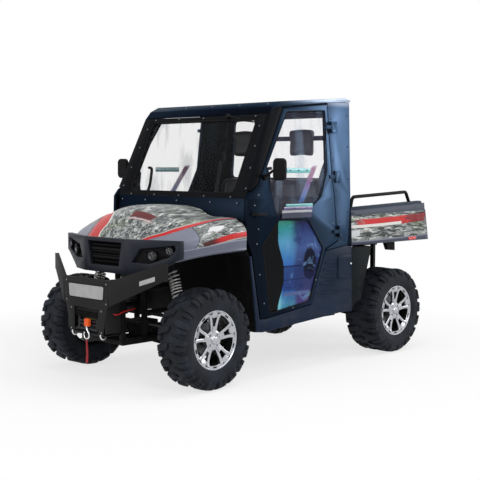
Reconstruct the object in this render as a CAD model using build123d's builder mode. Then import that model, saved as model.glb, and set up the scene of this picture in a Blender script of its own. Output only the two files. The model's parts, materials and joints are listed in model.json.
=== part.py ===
from build123d import *
from math import asin, cos, degrees, hypot, pi, radians, sin, sqrt
import os

# A two-seat side by side utility vehicle with a closed cab, two rear-hinged doors, a tilting
# cargo bed and a plate bumper. Millimetres. +X is forward, +Y is left, +Z is up; the origin is
# on the floor, below the middle of the vehicle.

# ---------------------------------------------------------------- driving dimensions
overall_length = 2974
wheelbase = 1995
front_axle = wheelbase / 2
rear_axle = -wheelbase / 2

tyre_radius = 330
lug_height = 17
lug_width = 54
lug_count = 18
tyre_sides = 36
front_tyre_width = 229
rear_tyre_width = 279
tyre_face = 747
bead_radius = 178
lip_radius = 195
rim_face = 735
rim_wall = 8
hub_bore = 20.05
spindle_radius = 20
kingpin_y = 605
spoke_count = 5
nut_count = 4
nut_circle = 52
# One window between two spokes, (outward, across) from the wheel's centre.
rim_window = [(62, -14), (96, -44), (142, -66), (157, -26), (157, 26), (142, 66), (96, 44), (62, 14)]

cab_half_width = 700
eave_half_width = 640
waist_z = 1235
eave_z = 1900
door_wall = 28
door_gap = 6
cowl_x = 655
cowl_foot_x = 668
cab_rear_low = (-410, 844)
cab_rear_high = (-490, 1928)
rear_wall_thickness = 18
sheet = 12
glass = 6
glass_gap = 0.3
weld_gap = 0.3
pillar_tube = 44
cage_y = 618
floor_sheet = 10

hood_sheet = 12
fascia_z = (740, 972)
bumper_plate = 6
bumper_setback = 12
bumper_flange = 26
frame_tube = 38
frame_y = 200
frame_z = 290
outrigger_y = 600
outrigger_z = 360
tower_z = 640
bed_floor_z = 880
bed_wall = 40
bed_front_x = -447
bed_rear_low = (-1476, 868)
bed_rear_high = (-1429, 1107)
bed_hinge = (-1380, 819)
bed_hinge_pin = 12
hinge_pin = 4
hinge_barrel = 8
rail_tube = 26
mirror_y = (766, 870)

# Door hinge line, leaning in with the cab's side: a low and a high point (x, y, z).
hinge_low = (-298, 717, 980)
hinge_high = (-243, 676, 1740)

os.makedirs("parts", exist_ok=True)
half_length = overall_length / 2


# ---------------------------------------------------------------- small helpers
def across(outline, y_low, y_high):
    """A block whose (x, z) outline runs across the vehicle."""
    with BuildPart() as block:
        with BuildSketch(Plane.XZ.offset(-y_high)):
            with BuildLine():
                Polyline(*outline, close=True)
            make_face()
        extrude(amount=y_high - y_low)
    return block.part


def along(outline, x_low, x_high):
    """A block whose (y, z) outline runs along the vehicle."""
    with BuildPart() as block:
        with BuildSketch(Plane.YZ.offset(x_low)):
            with BuildLine():
                Polyline(*outline, close=True)
            make_face()
        extrude(amount=x_high - x_low)
    return block.part


def upward(outline, z_low, z_high):
    """A block whose (x, y) outline rises from a low to a high level."""
    with BuildPart() as block:
        with BuildSketch(Plane.XY.offset(z_low)):
            with BuildLine():
                Polyline(*outline, close=True)
            make_face()
        extrude(amount=z_high - z_low)
    return block.part


def brick(x_low, x_high, y_low, y_high, z_low, z_high):
    """A block between two corners."""
    return upward([(x_low, y_low), (x_high, y_low), (x_high, y_high), (x_low, y_high)], z_low, z_high)


def rod(start, end, radius, bore=0):
    """A round bar, or a tube with a bore, from one point to another."""
    line = Vector(*end) - Vector(*start)
    with BuildPart() as bar:
        with BuildSketch(Plane(origin=start, z_dir=line.normalized())):
            Circle(radius)
            if bore:
                Circle(bore, mode=Mode.SUBTRACT)
        extrude(amount=line.length)
    return bar.part


def bent_rod(points, radius, bend):
    """A round bar along straight runs that are joined by arcs."""
    with BuildPart() as bar:
        with BuildLine() as run:
            FilletPolyline(*points, radius=bend)
        with BuildSketch(Plane(origin=run.line @ 0, z_dir=run.line % 0)):
            Circle(radius)
        sweep()
    return bar.part


def turned(outline, center, angle=360):
    """A body turned about a line along Y; its outline is given in (y, radius)."""
    x, z = center
    frame = Plane(origin=(x, 0, z), x_dir=(0, 1, 0), z_dir=(-1, 0, 0))
    with BuildPart() as body:
        with BuildSketch(frame):
            with BuildLine():
                Polyline(*outline, close=True)
            make_face()
        revolve(axis=Axis((x, 0, z), (0, 1, 0)), revolution_arc=angle)
    return body.part


def offset_outline(outline, amount):
    """The same outline moved out by an amount, or in by a negative one, with square corners."""
    with BuildSketch() as shape:
        with BuildLine():
            Polyline(*outline, close=True)
        make_face()
        offset(amount=amount, kind=Kind.INTERSECTION)
    corners = shape.sketch.faces()[0].outer_wire().order_edges()
    return [(edge.position_at(0).X, edge.position_at(0).Y) for edge in corners]


def side_y(z):
    """Half width of the cab at a height."""
    if z <= waist_z:
        return cab_half_width
    return cab_half_width + (eave_half_width - cab_half_width) * (z - waist_z) / (eave_z - waist_z)


def side_skin(outline, thickness=door_wall, inset=0, x_low=-700, x_high=900):
    """A panel of the cab's left side, which folds at the waist, cut to an outline in (x, z)."""
    top_z = 2000
    outer = [(side_y(z) - inset, z) for z in (200, waist_z, top_z)]
    inner = [(side_y(z) - inset - thickness, z) for z in (top_z, waist_z, 200)]
    with BuildPart() as panel:
        add(along(outer + inner, x_low, x_high))
        add(across(outline, 300, 900), mode=Mode.INTERSECT)
    return panel.part


def cab_section(inset):
    """The cab's cross section in (y, z), inset from its side."""
    right = [(inset - side_y(z), z) for z in (200, waist_z, 2000)]
    return right + [(-y, z) for y, z in reversed(right)]


def hinge_point(share):
    """A point on the door's hinge line, from its low point at 0 to its high point at 1."""
    return tuple(low + (high - low) * share for low, high in zip(hinge_low, hinge_high))


def write(name, builder):
    """Labels a finished piece and writes it."""
    builder.part.label = name
    export_step(builder.part, f"parts/{name}.step")


# ---------------------------------------------------------------- wheels
def tyre_body(x, width):
    """A left tyre: a many-sided carcass from bead to crown, with a row of shoulder lugs each side."""
    half = width / 2
    # The lug's flat top lies so that its corners run at the tyre's radius.
    lug_top = sqrt(tyre_radius ** 2 - (lug_width / 2) ** 2)
    phase = degrees(asin(lug_width / 2 / tyre_radius))
    rounding = cos(pi / tyre_sides)
    bead = bead_radius + 0.2
    wall = [
        # share of half width, radius
        (0.72, bead / rounding), (1.00, bead_radius + 72), (0.62, tyre_radius - lug_height),
    ]
    lug = [
        (0.06, tyre_radius - lug_height - 11), (0.06, lug_top), (0.62, lug_top),
        (0.965, tyre_radius - 42), (0.93, tyre_radius - 72),
    ]
    bore = wall[0]
    sections = []
    for share, radius in [(-share, radius) for share, radius in wall] + wall[::-1]:
        with BuildSketch(Plane(origin=(0, share * half, 0), x_dir=(1, 0, 0), z_dir=(0, 1, 0))) as section:
            RegularPolygon(radius, tyre_sides)
        sections.append(section.sketch)
    with BuildPart() as block:
        with BuildSketch(Plane.YZ.offset(-lug_width / 2)):
            with BuildLine():
                Polyline(*[(share * half, radius) for share, radius in lug], close=True)
            make_face()
        extrude(amount=lug_width)
    rows = ((0, block.part), (180 / lug_count, mirror(block.part, about=Plane.XZ)))
    with BuildPart() as tyre:
        loft(sections, ruled=True)
        with BuildSketch(Plane(origin=(0, -bore[0] * half, 0), x_dir=(1, 0, 0), z_dir=(0, 1, 0))):
            RegularPolygon(bore[1], tyre_sides)
        extrude(amount=2 * bore[0] * half, mode=Mode.SUBTRACT)
        add([row.rotate(Axis.Y, start + 360 / lug_count * index)
             for start, row in rows for index in range(lug_count)])
    return tyre.part.rotate(Axis.Y, phase).translate((x, tyre_face - half, tyre_radius))


def rim_body(x, width):
    """A left rim: a barrel with two lips and a dished face of split spokes."""
    outer = rim_face
    inner = 2 * (tyre_face - width / 2) - rim_face
    seat = bead_radius
    barrel = [
        (inner, lip_radius), (inner, lip_radius - rim_wall), (inner + 12, seat - rim_wall),
        (outer - 12, seat - rim_wall), (outer - 4, lip_radius - 12), (outer, lip_radius - 10),
        (outer, lip_radius), (outer - 8, lip_radius), (outer - 10, seat), (inner + 10, seat),
        (inner + 8, lip_radius),
    ]
    face = Plane(origin=(x, outer - 12, tyre_radius), x_dir=(1, 0, 0), z_dir=(0, 1, 0))
    with BuildSketch() as window:
        with BuildLine():
            Polyline(*rim_window, close=True)
        make_face()
        fillet(window.vertices(), 8)
    with BuildPart() as rim:
        add(turned(barrel, (x, tyre_radius)))
        with BuildSketch(face):
            Circle(seat - rim_wall + 1)
            with PolarLocations(0, spoke_count, start_angle=36):
                add(window.sketch, mode=Mode.SUBTRACT)
        extrude(amount=-26)
        with BuildSketch(face):
            with PolarLocations(0, spoke_count):
                with Locations((116, 0)):
                    SlotOverall(64, 17)
        extrude(amount=-9, mode=Mode.SUBTRACT)
        with BuildSketch(face.offset(-26)):
            Circle(58)
        extrude(amount=-26)
        with BuildSketch(face.offset(-52)):
            Circle(hub_bore)
        extrude(amount=44, mode=Mode.SUBTRACT)
        with BuildSketch(face):
            with PolarLocations(nut_circle, nut_count, start_angle=45):
                Circle(11)
        extrude(amount=-12, mode=Mode.SUBTRACT)
        with BuildSketch(face):
            Circle(30)
        extrude(amount=9, taper=12)
    return rim.part


# ---------------------------------------------------------------- wheels, one node each
for axle, axle_x, width in (
    ("front", front_axle, front_tyre_width),
    ("rear", rear_axle, rear_tyre_width),
):
    left_tyre = tyre_body(axle_x, width)
    left_rim = rim_body(axle_x, width)
    for side in ("left", "right"):
        with BuildPart() as tyre:
            add(left_tyre if side == "left" else mirror(left_tyre, about=Plane.XZ))
        write(f"tyre_{axle}_{side}", tyre)
        with BuildPart() as rim:
            add(left_rim if side == "left" else mirror(left_rim, about=Plane.XZ))
        write(f"rim_{axle}_{side}", rim)

# ---------------------------------------------------------------- steering and suspension
axle_z = tyre_radius
spindle_tip = rim_face - 12 - 9
upright_x = 30
arm_reach = 85
arm_y = kingpin_y - 15
arm_z = axle_z + 42
eye_radius = 14
eye_gap = 0.5
lower_ball_z = axle_z - 98
upper_ball_z = axle_z + 105
ball_half = 16


def upright(x, y_inner):
    """A left wheel carrier: a plate with a spindle, reaching to its two ball joints."""
    with BuildPart() as carrier:
        add(brick(x - upright_x, x + upright_x, y_inner, y_inner + 34, axle_z - 70, axle_z + 80))
        add(rod((x, y_inner, axle_z), (x, rim_face - 66, axle_z), 34))
        add(rod((x, y_inner, axle_z), (x, spindle_tip, axle_z), spindle_radius))
    return carrier.part


with BuildPart() as left_knuckle:
    add(upright(front_axle, kingpin_y - 14))
    pins = (
        (lower_ball_z + ball_half + eye_gap, axle_z - 60),
        (axle_z + 70, upper_ball_z - ball_half - eye_gap),
    )
    for low, high in pins:
        add(rod((front_axle, kingpin_y, low), (front_axle, kingpin_y, high), 13))
    add(brick(front_axle, front_axle + arm_reach, arm_y - 9, arm_y + 9, arm_z - 9, arm_z))
    add(rod((front_axle + arm_reach, arm_y, arm_z - 9), (front_axle + arm_reach, arm_y, arm_z), eye_radius))
write("knuckle_left", left_knuckle)
with BuildPart() as right_knuckle:
    add(mirror(left_knuckle.part, about=Plane.XZ))
write("knuckle_right", right_knuckle)

rack_x = front_axle + arm_reach
rack_z = arm_z + eye_gap + 9
rack_half = 170
with BuildPart() as tie_rods:
    add(rod((rack_x, -arm_y, rack_z), (rack_x, arm_y, rack_z), 8))
    for side in (-1, 1):
        add(rod((rack_x, side * arm_y, arm_z + eye_gap), (rack_x, side * arm_y, rack_z + 9), eye_radius))
write("tie_rods", tie_rods)
tower_x = (front_axle - 130, front_axle + 145)
rack_tube = 14
with BuildPart() as rack_housing:
    add(rod((rack_x, -rack_half, rack_z), (rack_x, rack_half, rack_z), 22, bore=8.5))
    for side in (-1, 1):
        y = side * 130
        add(brick(rack_x + 15, tower_x[1], y - 10, y + 10, rack_z - 10, rack_z + 10))
    add(rod((tower_x[1], -160, rack_z), (tower_x[1], 160, rack_z), rack_tube), mode=Mode.SUBTRACT)
write("steering_rack", rack_housing)

lower_pivot = (244, 296)
upper_pivot = (244, 470)
arm_tube = 13
arm_spread = 130
pivot_half = 22
ear = 6


def wishbone(x, ball_y, ball_z, pivot, spread):
    """A left A-arm from its ball joint to two pivots on the frame."""
    pivot_y, pivot_z = pivot
    with BuildPart() as arm:
        for end in (-1, 1):
            foot = (x + end * spread, pivot_y, pivot_z)
            add(rod((x + end * 8, ball_y, ball_z), foot, arm_tube))
            ends = [(foot[0] + shift, pivot_y, pivot_z) for shift in (-pivot_half, pivot_half)]
            add(rod(*ends, arm_tube + 4))
        add(rod((x, ball_y, ball_z - ball_half), (x, ball_y, ball_z + ball_half), 22))
    return arm.part


shock_x = 45
shock_eye = 19
# axle: (y, z) of the damper's upper eye, then of its foot on the upper arm
shock_line = {front_axle: ((358, 806), (452, 494)), rear_axle: ((345, 745), (415, 494))}


def shock_seat(x):
    """The left upper arm's two ears that hold the damper's foot, joined by a cross plate."""
    foot_y, foot_z = shock_line[x][1]
    arm_z = upper_pivot[1] + (upper_ball_z - upper_pivot[1]) * (foot_y - upper_pivot[0]) / (
        kingpin_y - upper_pivot[0])
    with BuildPart() as seat:
        add(brick(x - 66, x + shock_x + shock_eye + ear, foot_y - 14, foot_y + 14, arm_z - 7, arm_z + 7))
        for shift in (-shock_eye - ear, shock_eye):
            low = x + shock_x + shift
            add(brick(low, low + ear, foot_y - 14, foot_y + 14, arm_z - 7, foot_z + 14))
    return seat.part


with BuildPart() as front_suspension:
    add(wishbone(front_axle, kingpin_y, lower_ball_z, lower_pivot, arm_spread))
    add(wishbone(front_axle, kingpin_y, upper_ball_z, upper_pivot, arm_spread))
    add(shock_seat(front_axle))
    mirror(about=Plane.XZ)
write("front_suspension", front_suspension)

rear_carrier_y = 570
with BuildPart() as rear_suspension:
    add(upright(rear_axle, rear_carrier_y))
    add(wishbone(rear_axle, rear_carrier_y + 6, lower_ball_z, lower_pivot, arm_spread))
    add(wishbone(rear_axle, rear_carrier_y + 6, upper_ball_z, upper_pivot, arm_spread))
    for low, high in ((lower_ball_z, axle_z - 60), (axle_z + 70, upper_ball_z)):
        add(rod((rear_axle, rear_carrier_y + 6, low), (rear_axle, rear_carrier_y + 6, high), 13))
    add(shock_seat(rear_axle))
    mirror(about=Plane.XZ)
write("rear_suspension", rear_suspension)


def shock(x):
    """A left coil-over damper: two eyes, a body, a rod and the spring's outer form."""
    top, foot = [Vector(x + shock_x, y, z) for y, z in shock_line[x]]
    line = top - foot
    pieces = (
        # from, to (shares of the length), radius
        (0.0, 0.4, 17), (0.3, 1.0, 9), (0.17, 0.20, 40), (0.20, 0.83, 36), (0.83, 0.86, 40),
    )
    with BuildPart() as damper:
        for eye in (top, foot):
            add(rod((eye.X - shock_eye, eye.Y, eye.Z), (eye.X + shock_eye, eye.Y, eye.Z), 16))
        for low, high, radius in pieces:
            add(rod(tuple(foot + line * low), tuple(foot + line * high), radius))
    return damper.part


with BuildPart() as shocks:
    add(shock(front_axle))
    add(shock(rear_axle))
    mirror(about=Plane.XZ)
write("shock_absorbers", shocks)

engine_x = (-850, -424)
engine_z = (frame_z + frame_tube / 2 - 3, 700)
diff_half = (80, 62)
with BuildPart() as drive_line:
    for x, joint_y in ((front_axle, kingpin_y - 46), (rear_axle, rear_carrier_y - 12)):
        add(brick(x - 85, x + 50, -diff_half[0], diff_half[0], axle_z - diff_half[1], axle_z + diff_half[1]))
        for side in (-1, 1):
            for low, high, radius in (
                (diff_half[0] + weld_gap, 150, 36), (150 + weld_gap, joint_y - 62 - weld_gap, 13),
                (joint_y - 62, joint_y, 34),
            ):
                add(rod((x, side * low, axle_z), (x, side * high, axle_z), radius))
    add(rod((front_axle - 85 - weld_gap, 0, axle_z), (engine_x[1] + weld_gap, 0, axle_z), 17))
    add(rod((rear_axle + 50 + weld_gap, 0, axle_z), (engine_x[0] - weld_gap, 0, axle_z), 26))
write("drive_line", drive_line)

with BuildPart() as engine:
    add(brick(*engine_x, -150, 150, *engine_z))
    with BuildSketch(Plane.XZ.offset(-150)):
        with Locations((-620, 420)):
            Circle(90)
    extrude(amount=-40)
write("engine_block", engine)

# ---------------------------------------------------------------- frames
# Square tubes, each a weld gap short of the tube that it is welded to.
bed_seat_z = 838
bed_lug_y = (228, 242)
hitch_half = 32
hitch_bore = 25.7
hitch_depth = 82
hitch_pin_x = -half_length + 32
hitch_pin_radius = 8.25
tube = frame_tube / 2
thin = tube - 3
floor_z = outrigger_z + thin
rail_x = (-1400, 1330)
rear_tower_x = (rear_axle - 190, rear_axle + 190)
bed_rail_z = bed_seat_z - tube
outrigger_x = (-360, 0, 360)
post_foot = frame_z + tube + weld_gap
shock_bar_z = {front_axle: 846, rear_axle: bed_rail_z - tube - weld_gap - thin}


def bar_x(x_low, x_high, y, z, half):
    """A square bar along the vehicle."""
    return brick(x_low, x_high, y - half, y + half, z - half, z + half)


def bar_y(x, reach, z, half):
    """A square bar across the vehicle, as far to the left as to the right."""
    return brick(x - half, x + half, -reach, reach, z - half, z + half)


def post(x, y, z_low, z_high):
    """An upright square bar."""
    return brick(x - thin, x + thin, y - thin, y + thin, z_low, z_high)


def shock_bar(axle_x):
    """The bar that the two dampers of an axle hang from."""
    return bar_y(axle_x + shock_x, shock_line[axle_x][0][0] + 20, shock_bar_z[axle_x], thin)


with BuildPart() as frame_rails:
    inside = frame_y - tube - weld_gap
    for side in (-1, 1):
        add(bar_x(rail_x[0] - tube, rail_x[1] + thin, side * frame_y, frame_z, tube))
    add(bar_y(rail_x[0], inside, frame_z, tube))
    for x in (engine_x[0] + 60, engine_x[1] - 60, outrigger_x[0] + 60, outrigger_x[2], rail_x[1]):
        add(bar_y(x, inside, frame_z, thin))
write("frame_rails", frame_rails)

with BuildPart() as front_tower:
    inside = frame_y - thin - weld_gap
    for side in (-1, 1):
        y = side * frame_y
        for x in (*tower_x, rail_x[1]):
            add(post(x, y, post_foot, tower_z - thin - weld_gap))
        add(bar_x(tower_x[0] - thin, rail_x[1] + thin, y, tower_z, thin))
        add(bar_x(tower_x[0] + thin + weld_gap, tower_x[1] - thin - weld_gap, y, upper_pivot[1], thin))
        add(post(front_axle + shock_x, y, tower_z + thin + weld_gap,
                 shock_bar_z[front_axle] - thin - weld_gap))
    add(bar_y(rail_x[1], inside, tower_z, thin))
    add(shock_bar(front_axle))
    add(rod((tower_x[1], -inside, rack_z), (tower_x[1], inside, rack_z), rack_tube))
write("front_tower", front_tower)

with BuildPart() as bed_frame:
    for side in (-1, 1):
        y = side * frame_y
        for x in (*rear_tower_x, rail_x[0]):
            add(post(x, y, post_foot, bed_rail_z - tube - weld_gap))
        add(bar_x(rear_tower_x[0] + thin + weld_gap, rear_tower_x[1] - thin - weld_gap, y,
                  upper_pivot[1], thin))
        add(bar_x(rail_x[0] - tube, -440, y, bed_rail_z, tube))
        start = (bed_hinge[0], y, bed_hinge[1])
        add(rod(start, (bed_hinge[0], side * bed_lug_y[1], bed_hinge[1]), bed_hinge_pin))
    add(bar_y(rail_x[0], frame_y - tube - weld_gap, bed_rail_z, tube))
    add(shock_bar(rear_axle))
write("bed_frame", bed_frame)

with BuildPart() as outriggers:
    for side in (-1, 1):
        add(bar_x(outrigger_x[0] - thin, 540, side * outrigger_y, outrigger_z, thin))
        root = side * (frame_y + tube + weld_gap)
        tip = side * (outrigger_y - thin - weld_gap)
        for x in outrigger_x:
            add(along([(root, frame_z - thin), (tip, outrigger_z - thin), (tip, outrigger_z + thin),
                       (root, frame_z + thin)], x - thin, x + thin))
write("cab_outriggers", outriggers)

# A clevis for each arm pivot, on the rails, the posts and the pivot bars, and one for each damper.
with BuildPart() as brackets:
    for axle_x in (front_axle, rear_axle):
        for (pivot_y, pivot_z), face in ((lower_pivot, frame_y + tube), (upper_pivot, frame_y + thin)):
            for end in (-1, 1):
                x = axle_x + end * arm_spread
                reach = pivot_half + ear
                seat = face + weld_gap
                add(brick(x - reach, x + reach, seat, seat + ear, pivot_z - 14, pivot_z + 14))
                for low in (x - reach, x + pivot_half):
                    add(brick(low, low + ear, seat, pivot_y + 14, pivot_z - 14, pivot_z + 14))
        eye_y, eye_z = shock_line[axle_x][0]
        x = axle_x + shock_x
        reach = shock_eye + ear
        seat = shock_bar_z[axle_x] - thin - weld_gap
        add(brick(x - reach, x + reach, eye_y - 18, eye_y + 18, seat - ear, seat))
        for low in (x - reach, x + shock_eye):
            add(brick(low, low + ear, eye_y - 18, eye_y + 18, eye_z - 16, seat))
    mirror(about=Plane.XZ)
write("suspension_brackets", brackets)

hitch_z = frame_z - tube - weld_gap - hitch_half
hitch_end = -half_length + hitch_depth
with BuildPart() as hitch:
    add(brick(-half_length, rail_x[0] + tube, -hitch_half, hitch_half, hitch_z - hitch_half,
              hitch_z + hitch_half))
    back = rail_x[0] - tube - weld_gap
    add(brick(back - 8, back, -50, 50, hitch_z, frame_z + tube))
    add(brick(-half_length - 5, hitch_end, -hitch_bore, hitch_bore, hitch_z - hitch_bore,
              hitch_z + hitch_bore), mode=Mode.SUBTRACT)
    add(rod((hitch_pin_x, -60, hitch_z), (hitch_pin_x, 60, hitch_z), hitch_pin_radius), mode=Mode.SUBTRACT)
write("hitch_receiver", hitch)


# ---------------------------------------------------------------- floor and roll cage
floor_half = cab_half_width - door_wall
floor_top = floor_z + floor_sheet
toe_foot = (540, floor_top)
toe_top = (cowl_foot_x - sheet, 1050)


def sheet_line(points, thickness):
    """The closed outline of a sheet that thickens to the right of a line of points."""
    count = len(points)
    normals = []
    for (x0, z0), (x1, z1) in zip(points, points[1:]):
        length = hypot(x1 - x0, z1 - z0)
        normals.append(((z1 - z0) / length, (x0 - x1) / length))
    moved = []
    for index in range(count):
        before = normals[max(index - 1, 0)]
        after = normals[min(index, count - 2)]
        share = thickness / (1 + before[0] * after[0] + before[1] * after[1])
        x, z = points[index]
        moved.append((x + (before[0] + after[0]) * share, z + (before[1] + after[1]) * share))
    return list(points) + moved[::-1]


floor_line = [(-400, cab_rear_low[1]), (-398, floor_top), toe_foot, toe_top]
with BuildPart() as floor_pan:
    add(across(sheet_line(floor_line, floor_sheet), -floor_half, floor_half))
write("floor_pan", floor_pan)

cage = pillar_tube / 2
cage_low_y = floor_half - 8 - cage
cage_eave_y = eave_half_width - door_wall - 8 - cage
cage_waist_z = waist_z - 30
cage_front_x = toe_top[0] - 60
cage_line = [
    # x, y, z of the cage's left tube, from its front foot over the roof to its rear foot
    (cage_front_x, cage_low_y, floor_top - 20),
    (cage_front_x, cage_low_y, cage_waist_z),
    (322, cage_eave_y, 1838),
    (-434, cage_eave_y, 1896),
    (-372, cage_low_y, cage_waist_z),
    (-372, cage_low_y, floor_top - 20),
]
headrest_z = 1668
headrest_bar_x = -400
with BuildPart() as roll_cage:
    for side in (-1, 1):
        add(bent_rod([(x, side * y, z) for x, y, z in cage_line], cage, 60))
    add(rod((300, -cage_eave_y, 1836), (300, cage_eave_y, 1836), cage - 4))
    add(rod((-410, -cage_eave_y, 1888), (-410, cage_eave_y, 1888), cage - 4))
    add(rod((-372, -cage_low_y, 1100), (-372, cage_low_y, 1100), cage - 4))
    add(rod((cage_front_x, -cage_low_y, 1100), (cage_front_x, cage_low_y, 1100), cage - 4))
    bar_y = cage_low_y + (cage_eave_y - cage_low_y) * (headrest_z - cage_waist_z) / (1896 - cage_waist_z)
    add(rod((headrest_bar_x, -bar_y, headrest_z), (headrest_bar_x, bar_y, headrest_z), cage - 4))
    below_floor = floor_line[1:] + [(900, toe_top[1]), (900, 0), (-420, 0), (-420, floor_top)]
    add(across(below_floor, -900, 900), mode=Mode.SUBTRACT)
write("roll_cage", roll_cage)

# ---------------------------------------------------------------- roof
roof_outer = [(-496, 1934), (-496, 1946), (-434, 1960), (273, 1904), (352, 1867), (398, 1814)]
roof_under = [(388, 1812), (344, 1858), (266, 1868), (-216, 1917)]
roof_pocket = [(-480, 1900), (-480, 1937), (-432, 1948), (268, 1892), (344, 1856), (330, 1800)]
roof_half = eave_half_width + 4
roof_flange = 10
with BuildPart() as roof:
    add(across(roof_outer + roof_under, -roof_half, roof_half))
    add(across(roof_pocket, roof_flange - roof_half, roof_half - roof_flange), mode=Mode.SUBTRACT)
write("roof_panel", roof)

# ---------------------------------------------------------------- windscreen frame and glass
screen_foot = (cowl_x, waist_z)
screen_head = (399, 1810)
screen_wall = 24
screen_run = hypot(screen_foot[0] - screen_head[0], screen_head[1] - screen_foot[1])
screen_up = ((screen_head[0] - screen_foot[0]) / screen_run, (screen_head[1] - screen_foot[1]) / screen_run)
screen_out = (screen_up[1], -screen_up[0])
screen_back = (screen_head[0] - screen_wall * screen_out[0], screen_head[1] - screen_wall * screen_out[1])
screen_slope = (screen_head[0] - screen_foot[0]) / (screen_head[1] - screen_foot[1])
screen_inner_foot = (screen_back[0] - screen_slope * (screen_back[1] - waist_z), waist_z)
aperture = (1080, 556)
aperture_corner = 46
aperture_middle = 0.502
cheek = [
    (628, 1290), screen_head, (350, 1863), (268, 1863), (264, 1861), (563, 1331),
]
aperture_center = (
    screen_foot[0] + screen_up[0] * screen_run * aperture_middle,
    0,
    screen_foot[1] + screen_up[1] * screen_run * aperture_middle,
)
screen_plane = Plane(origin=aperture_center, x_dir=(0, 1, 0), z_dir=(screen_out[0], 0, screen_out[1]))
with BuildPart() as screen_frame:
    add(across([screen_foot, screen_head, screen_back, screen_inner_foot], -800, 800))
    add(along(cab_section(door_wall + door_gap), 0, 900), mode=Mode.INTERSECT)
    add(side_skin(cheek, thickness=36))
    add(mirror(side_skin(cheek, thickness=36), about=Plane.XZ))
    with BuildSketch(screen_plane.offset(-60)):
        RectangleRounded(*aperture, aperture_corner)
    extrude(amount=120, mode=Mode.SUBTRACT)
    add(roof.part, mode=Mode.SUBTRACT)
    add(roll_cage.part, mode=Mode.SUBTRACT)
write("windscreen_frame", screen_frame)

rear_window = (-536, 536, 1360, 1830)
rear_dir = (cab_rear_high[0] - cab_rear_low[0], cab_rear_high[1] - cab_rear_low[1])


def rear_x(z):
    """The cab's rear face at a height."""
    return cab_rear_low[0] + rear_dir[0] * (z - cab_rear_low[1]) / rear_dir[1]


def rear_sheet(front, back):
    """A slanted sheet across the cab's rear, between two depths from the rear face."""
    low, high = 844, 1934
    return across([(rear_x(low) + back, low), (rear_x(low) + front, low), (rear_x(high) + front, high),
                   (rear_x(high) + back, high)], -800, 800)


def window_prism(inset, x_low=-600, x_high=-300):
    """A block with rounded corners that fills the rear window, less an inset."""
    y_low, y_high, z_low, z_high = rear_window
    with BuildPart() as block:
        with BuildSketch(Plane.YZ.offset(x_low)):
            with Locations(((y_low + y_high) / 2, (z_low + z_high) / 2)):
                RectangleRounded(y_high - y_low - 2 * inset, z_high - z_low - 2 * inset, 40 - inset)
        extrude(amount=x_high - x_low)
    return block.part


def rear_pane():
    """The pane in the rear window, just inside the cab's rear face."""
    with BuildPart() as pane:
        add(rear_sheet(2 * glass, glass))
        add(window_prism(glass_gap), mode=Mode.INTERSECT)
    return pane.part


with BuildPart() as rear_wall:
    add(rear_sheet(rear_wall_thickness, 0))
    add(along(cab_section(door_wall), -600, 0), mode=Mode.INTERSECT)
    add(window_prism(0), mode=Mode.SUBTRACT)
    add(roof.part, mode=Mode.SUBTRACT)
    add(roll_cage.part, mode=Mode.SUBTRACT)
write("rear_wall", rear_wall)

with BuildPart() as cab_glass:
    with BuildSketch(screen_plane.offset(-8 - glass)):
        RectangleRounded(aperture[0] - 2 * glass_gap, aperture[1] - 2 * glass_gap, aperture_corner - glass_gap)
    extrude(amount=glass)
    add(rear_pane())
write("cab_glass", cab_glass)

# ---------------------------------------------------------------- doors and their surrounds
door_outline = [
    (-227, 1901), (-226, 1647), (-233, 1357), (-273, 998), (-298, 916), (-153, 862), (0, 470),
    (470, 418), (534, 419), (619, 856), (679, 983), (672, 1226), (638, 1273), (559, 1327), (259, 1857),
]
upper_window = [
    (219, 1834), (-200, 1858), (-183, 1429), (-96, 1236), (29, 1153), (386, 1121), (441, 1306),
    (434, 1394), (464, 1449),
]
lower_window = [(354, 1085), (39, 1075), (-126, 866), (20, 494), (440, 446), (522, 918)]
pane_depth = 10
hinge_shares = (0.0, 0.526, 1.0)
hinge_half = 44
door_barrel_half = 15
leaf_half_z = 21
leaf_reach = 62
leaf_pad = 34


def hinge_rod(share, low, high, radius):
    """A round bar on the hinge line, between two distances from a point on it."""
    center = Vector(*hinge_point(share))
    axis = (Vector(*hinge_high) - Vector(*hinge_low)).normalized()
    return rod(tuple(center + axis * low), tuple(center + axis * high), radius)


def hinge_leaf(share, x_low, x_high, lift, half_z):
    """A leaf plate that lies on the cab's side by the hinge line."""
    x, y, z = hinge_point(share)
    outline = [(x + x_low, z - half_z), (x + x_high, z - half_z), (x + x_high, z + half_z),
               (x + x_low, z + half_z)]
    rise = y - side_y(z)
    return side_skin(outline, thickness=rise - lift, inset=-rise)


with BuildPart() as left_door:
    add(side_skin(door_outline))
    add(across(upper_window, 500, 800), mode=Mode.SUBTRACT)
    add(across(lower_window, 500, 800), mode=Mode.SUBTRACT)
    for share in hinge_shares:
        add(hinge_rod(share, -door_barrel_half, door_barrel_half, hinge_barrel))
        add(hinge_leaf(share, 0, leaf_reach, 1.2, door_barrel_half - 2))
        add(hinge_leaf(share, leaf_pad, leaf_reach, -1, door_barrel_half - 2))
        add(hinge_rod(share, -50, 50, hinge_pin + 0.05), mode=Mode.SUBTRACT)
    add(side_skin([(530, 1110), (604, 1110), (604, 1142), (530, 1142)], thickness=15, inset=-14))
write("door_left", left_door)
with BuildPart() as right_door:
    add(mirror(left_door.part, about=Plane.XZ))
write("door_right", right_door)

with BuildPart() as left_panes:
    for outline in (upper_window, lower_window):
        add(side_skin(offset_outline(outline, -glass_gap), thickness=glass, inset=pane_depth))
write("door_glass_left", left_panes)
with BuildPart() as right_panes:
    add(mirror(left_panes.part, about=Plane.XZ))
write("door_glass_right", right_panes)

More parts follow.
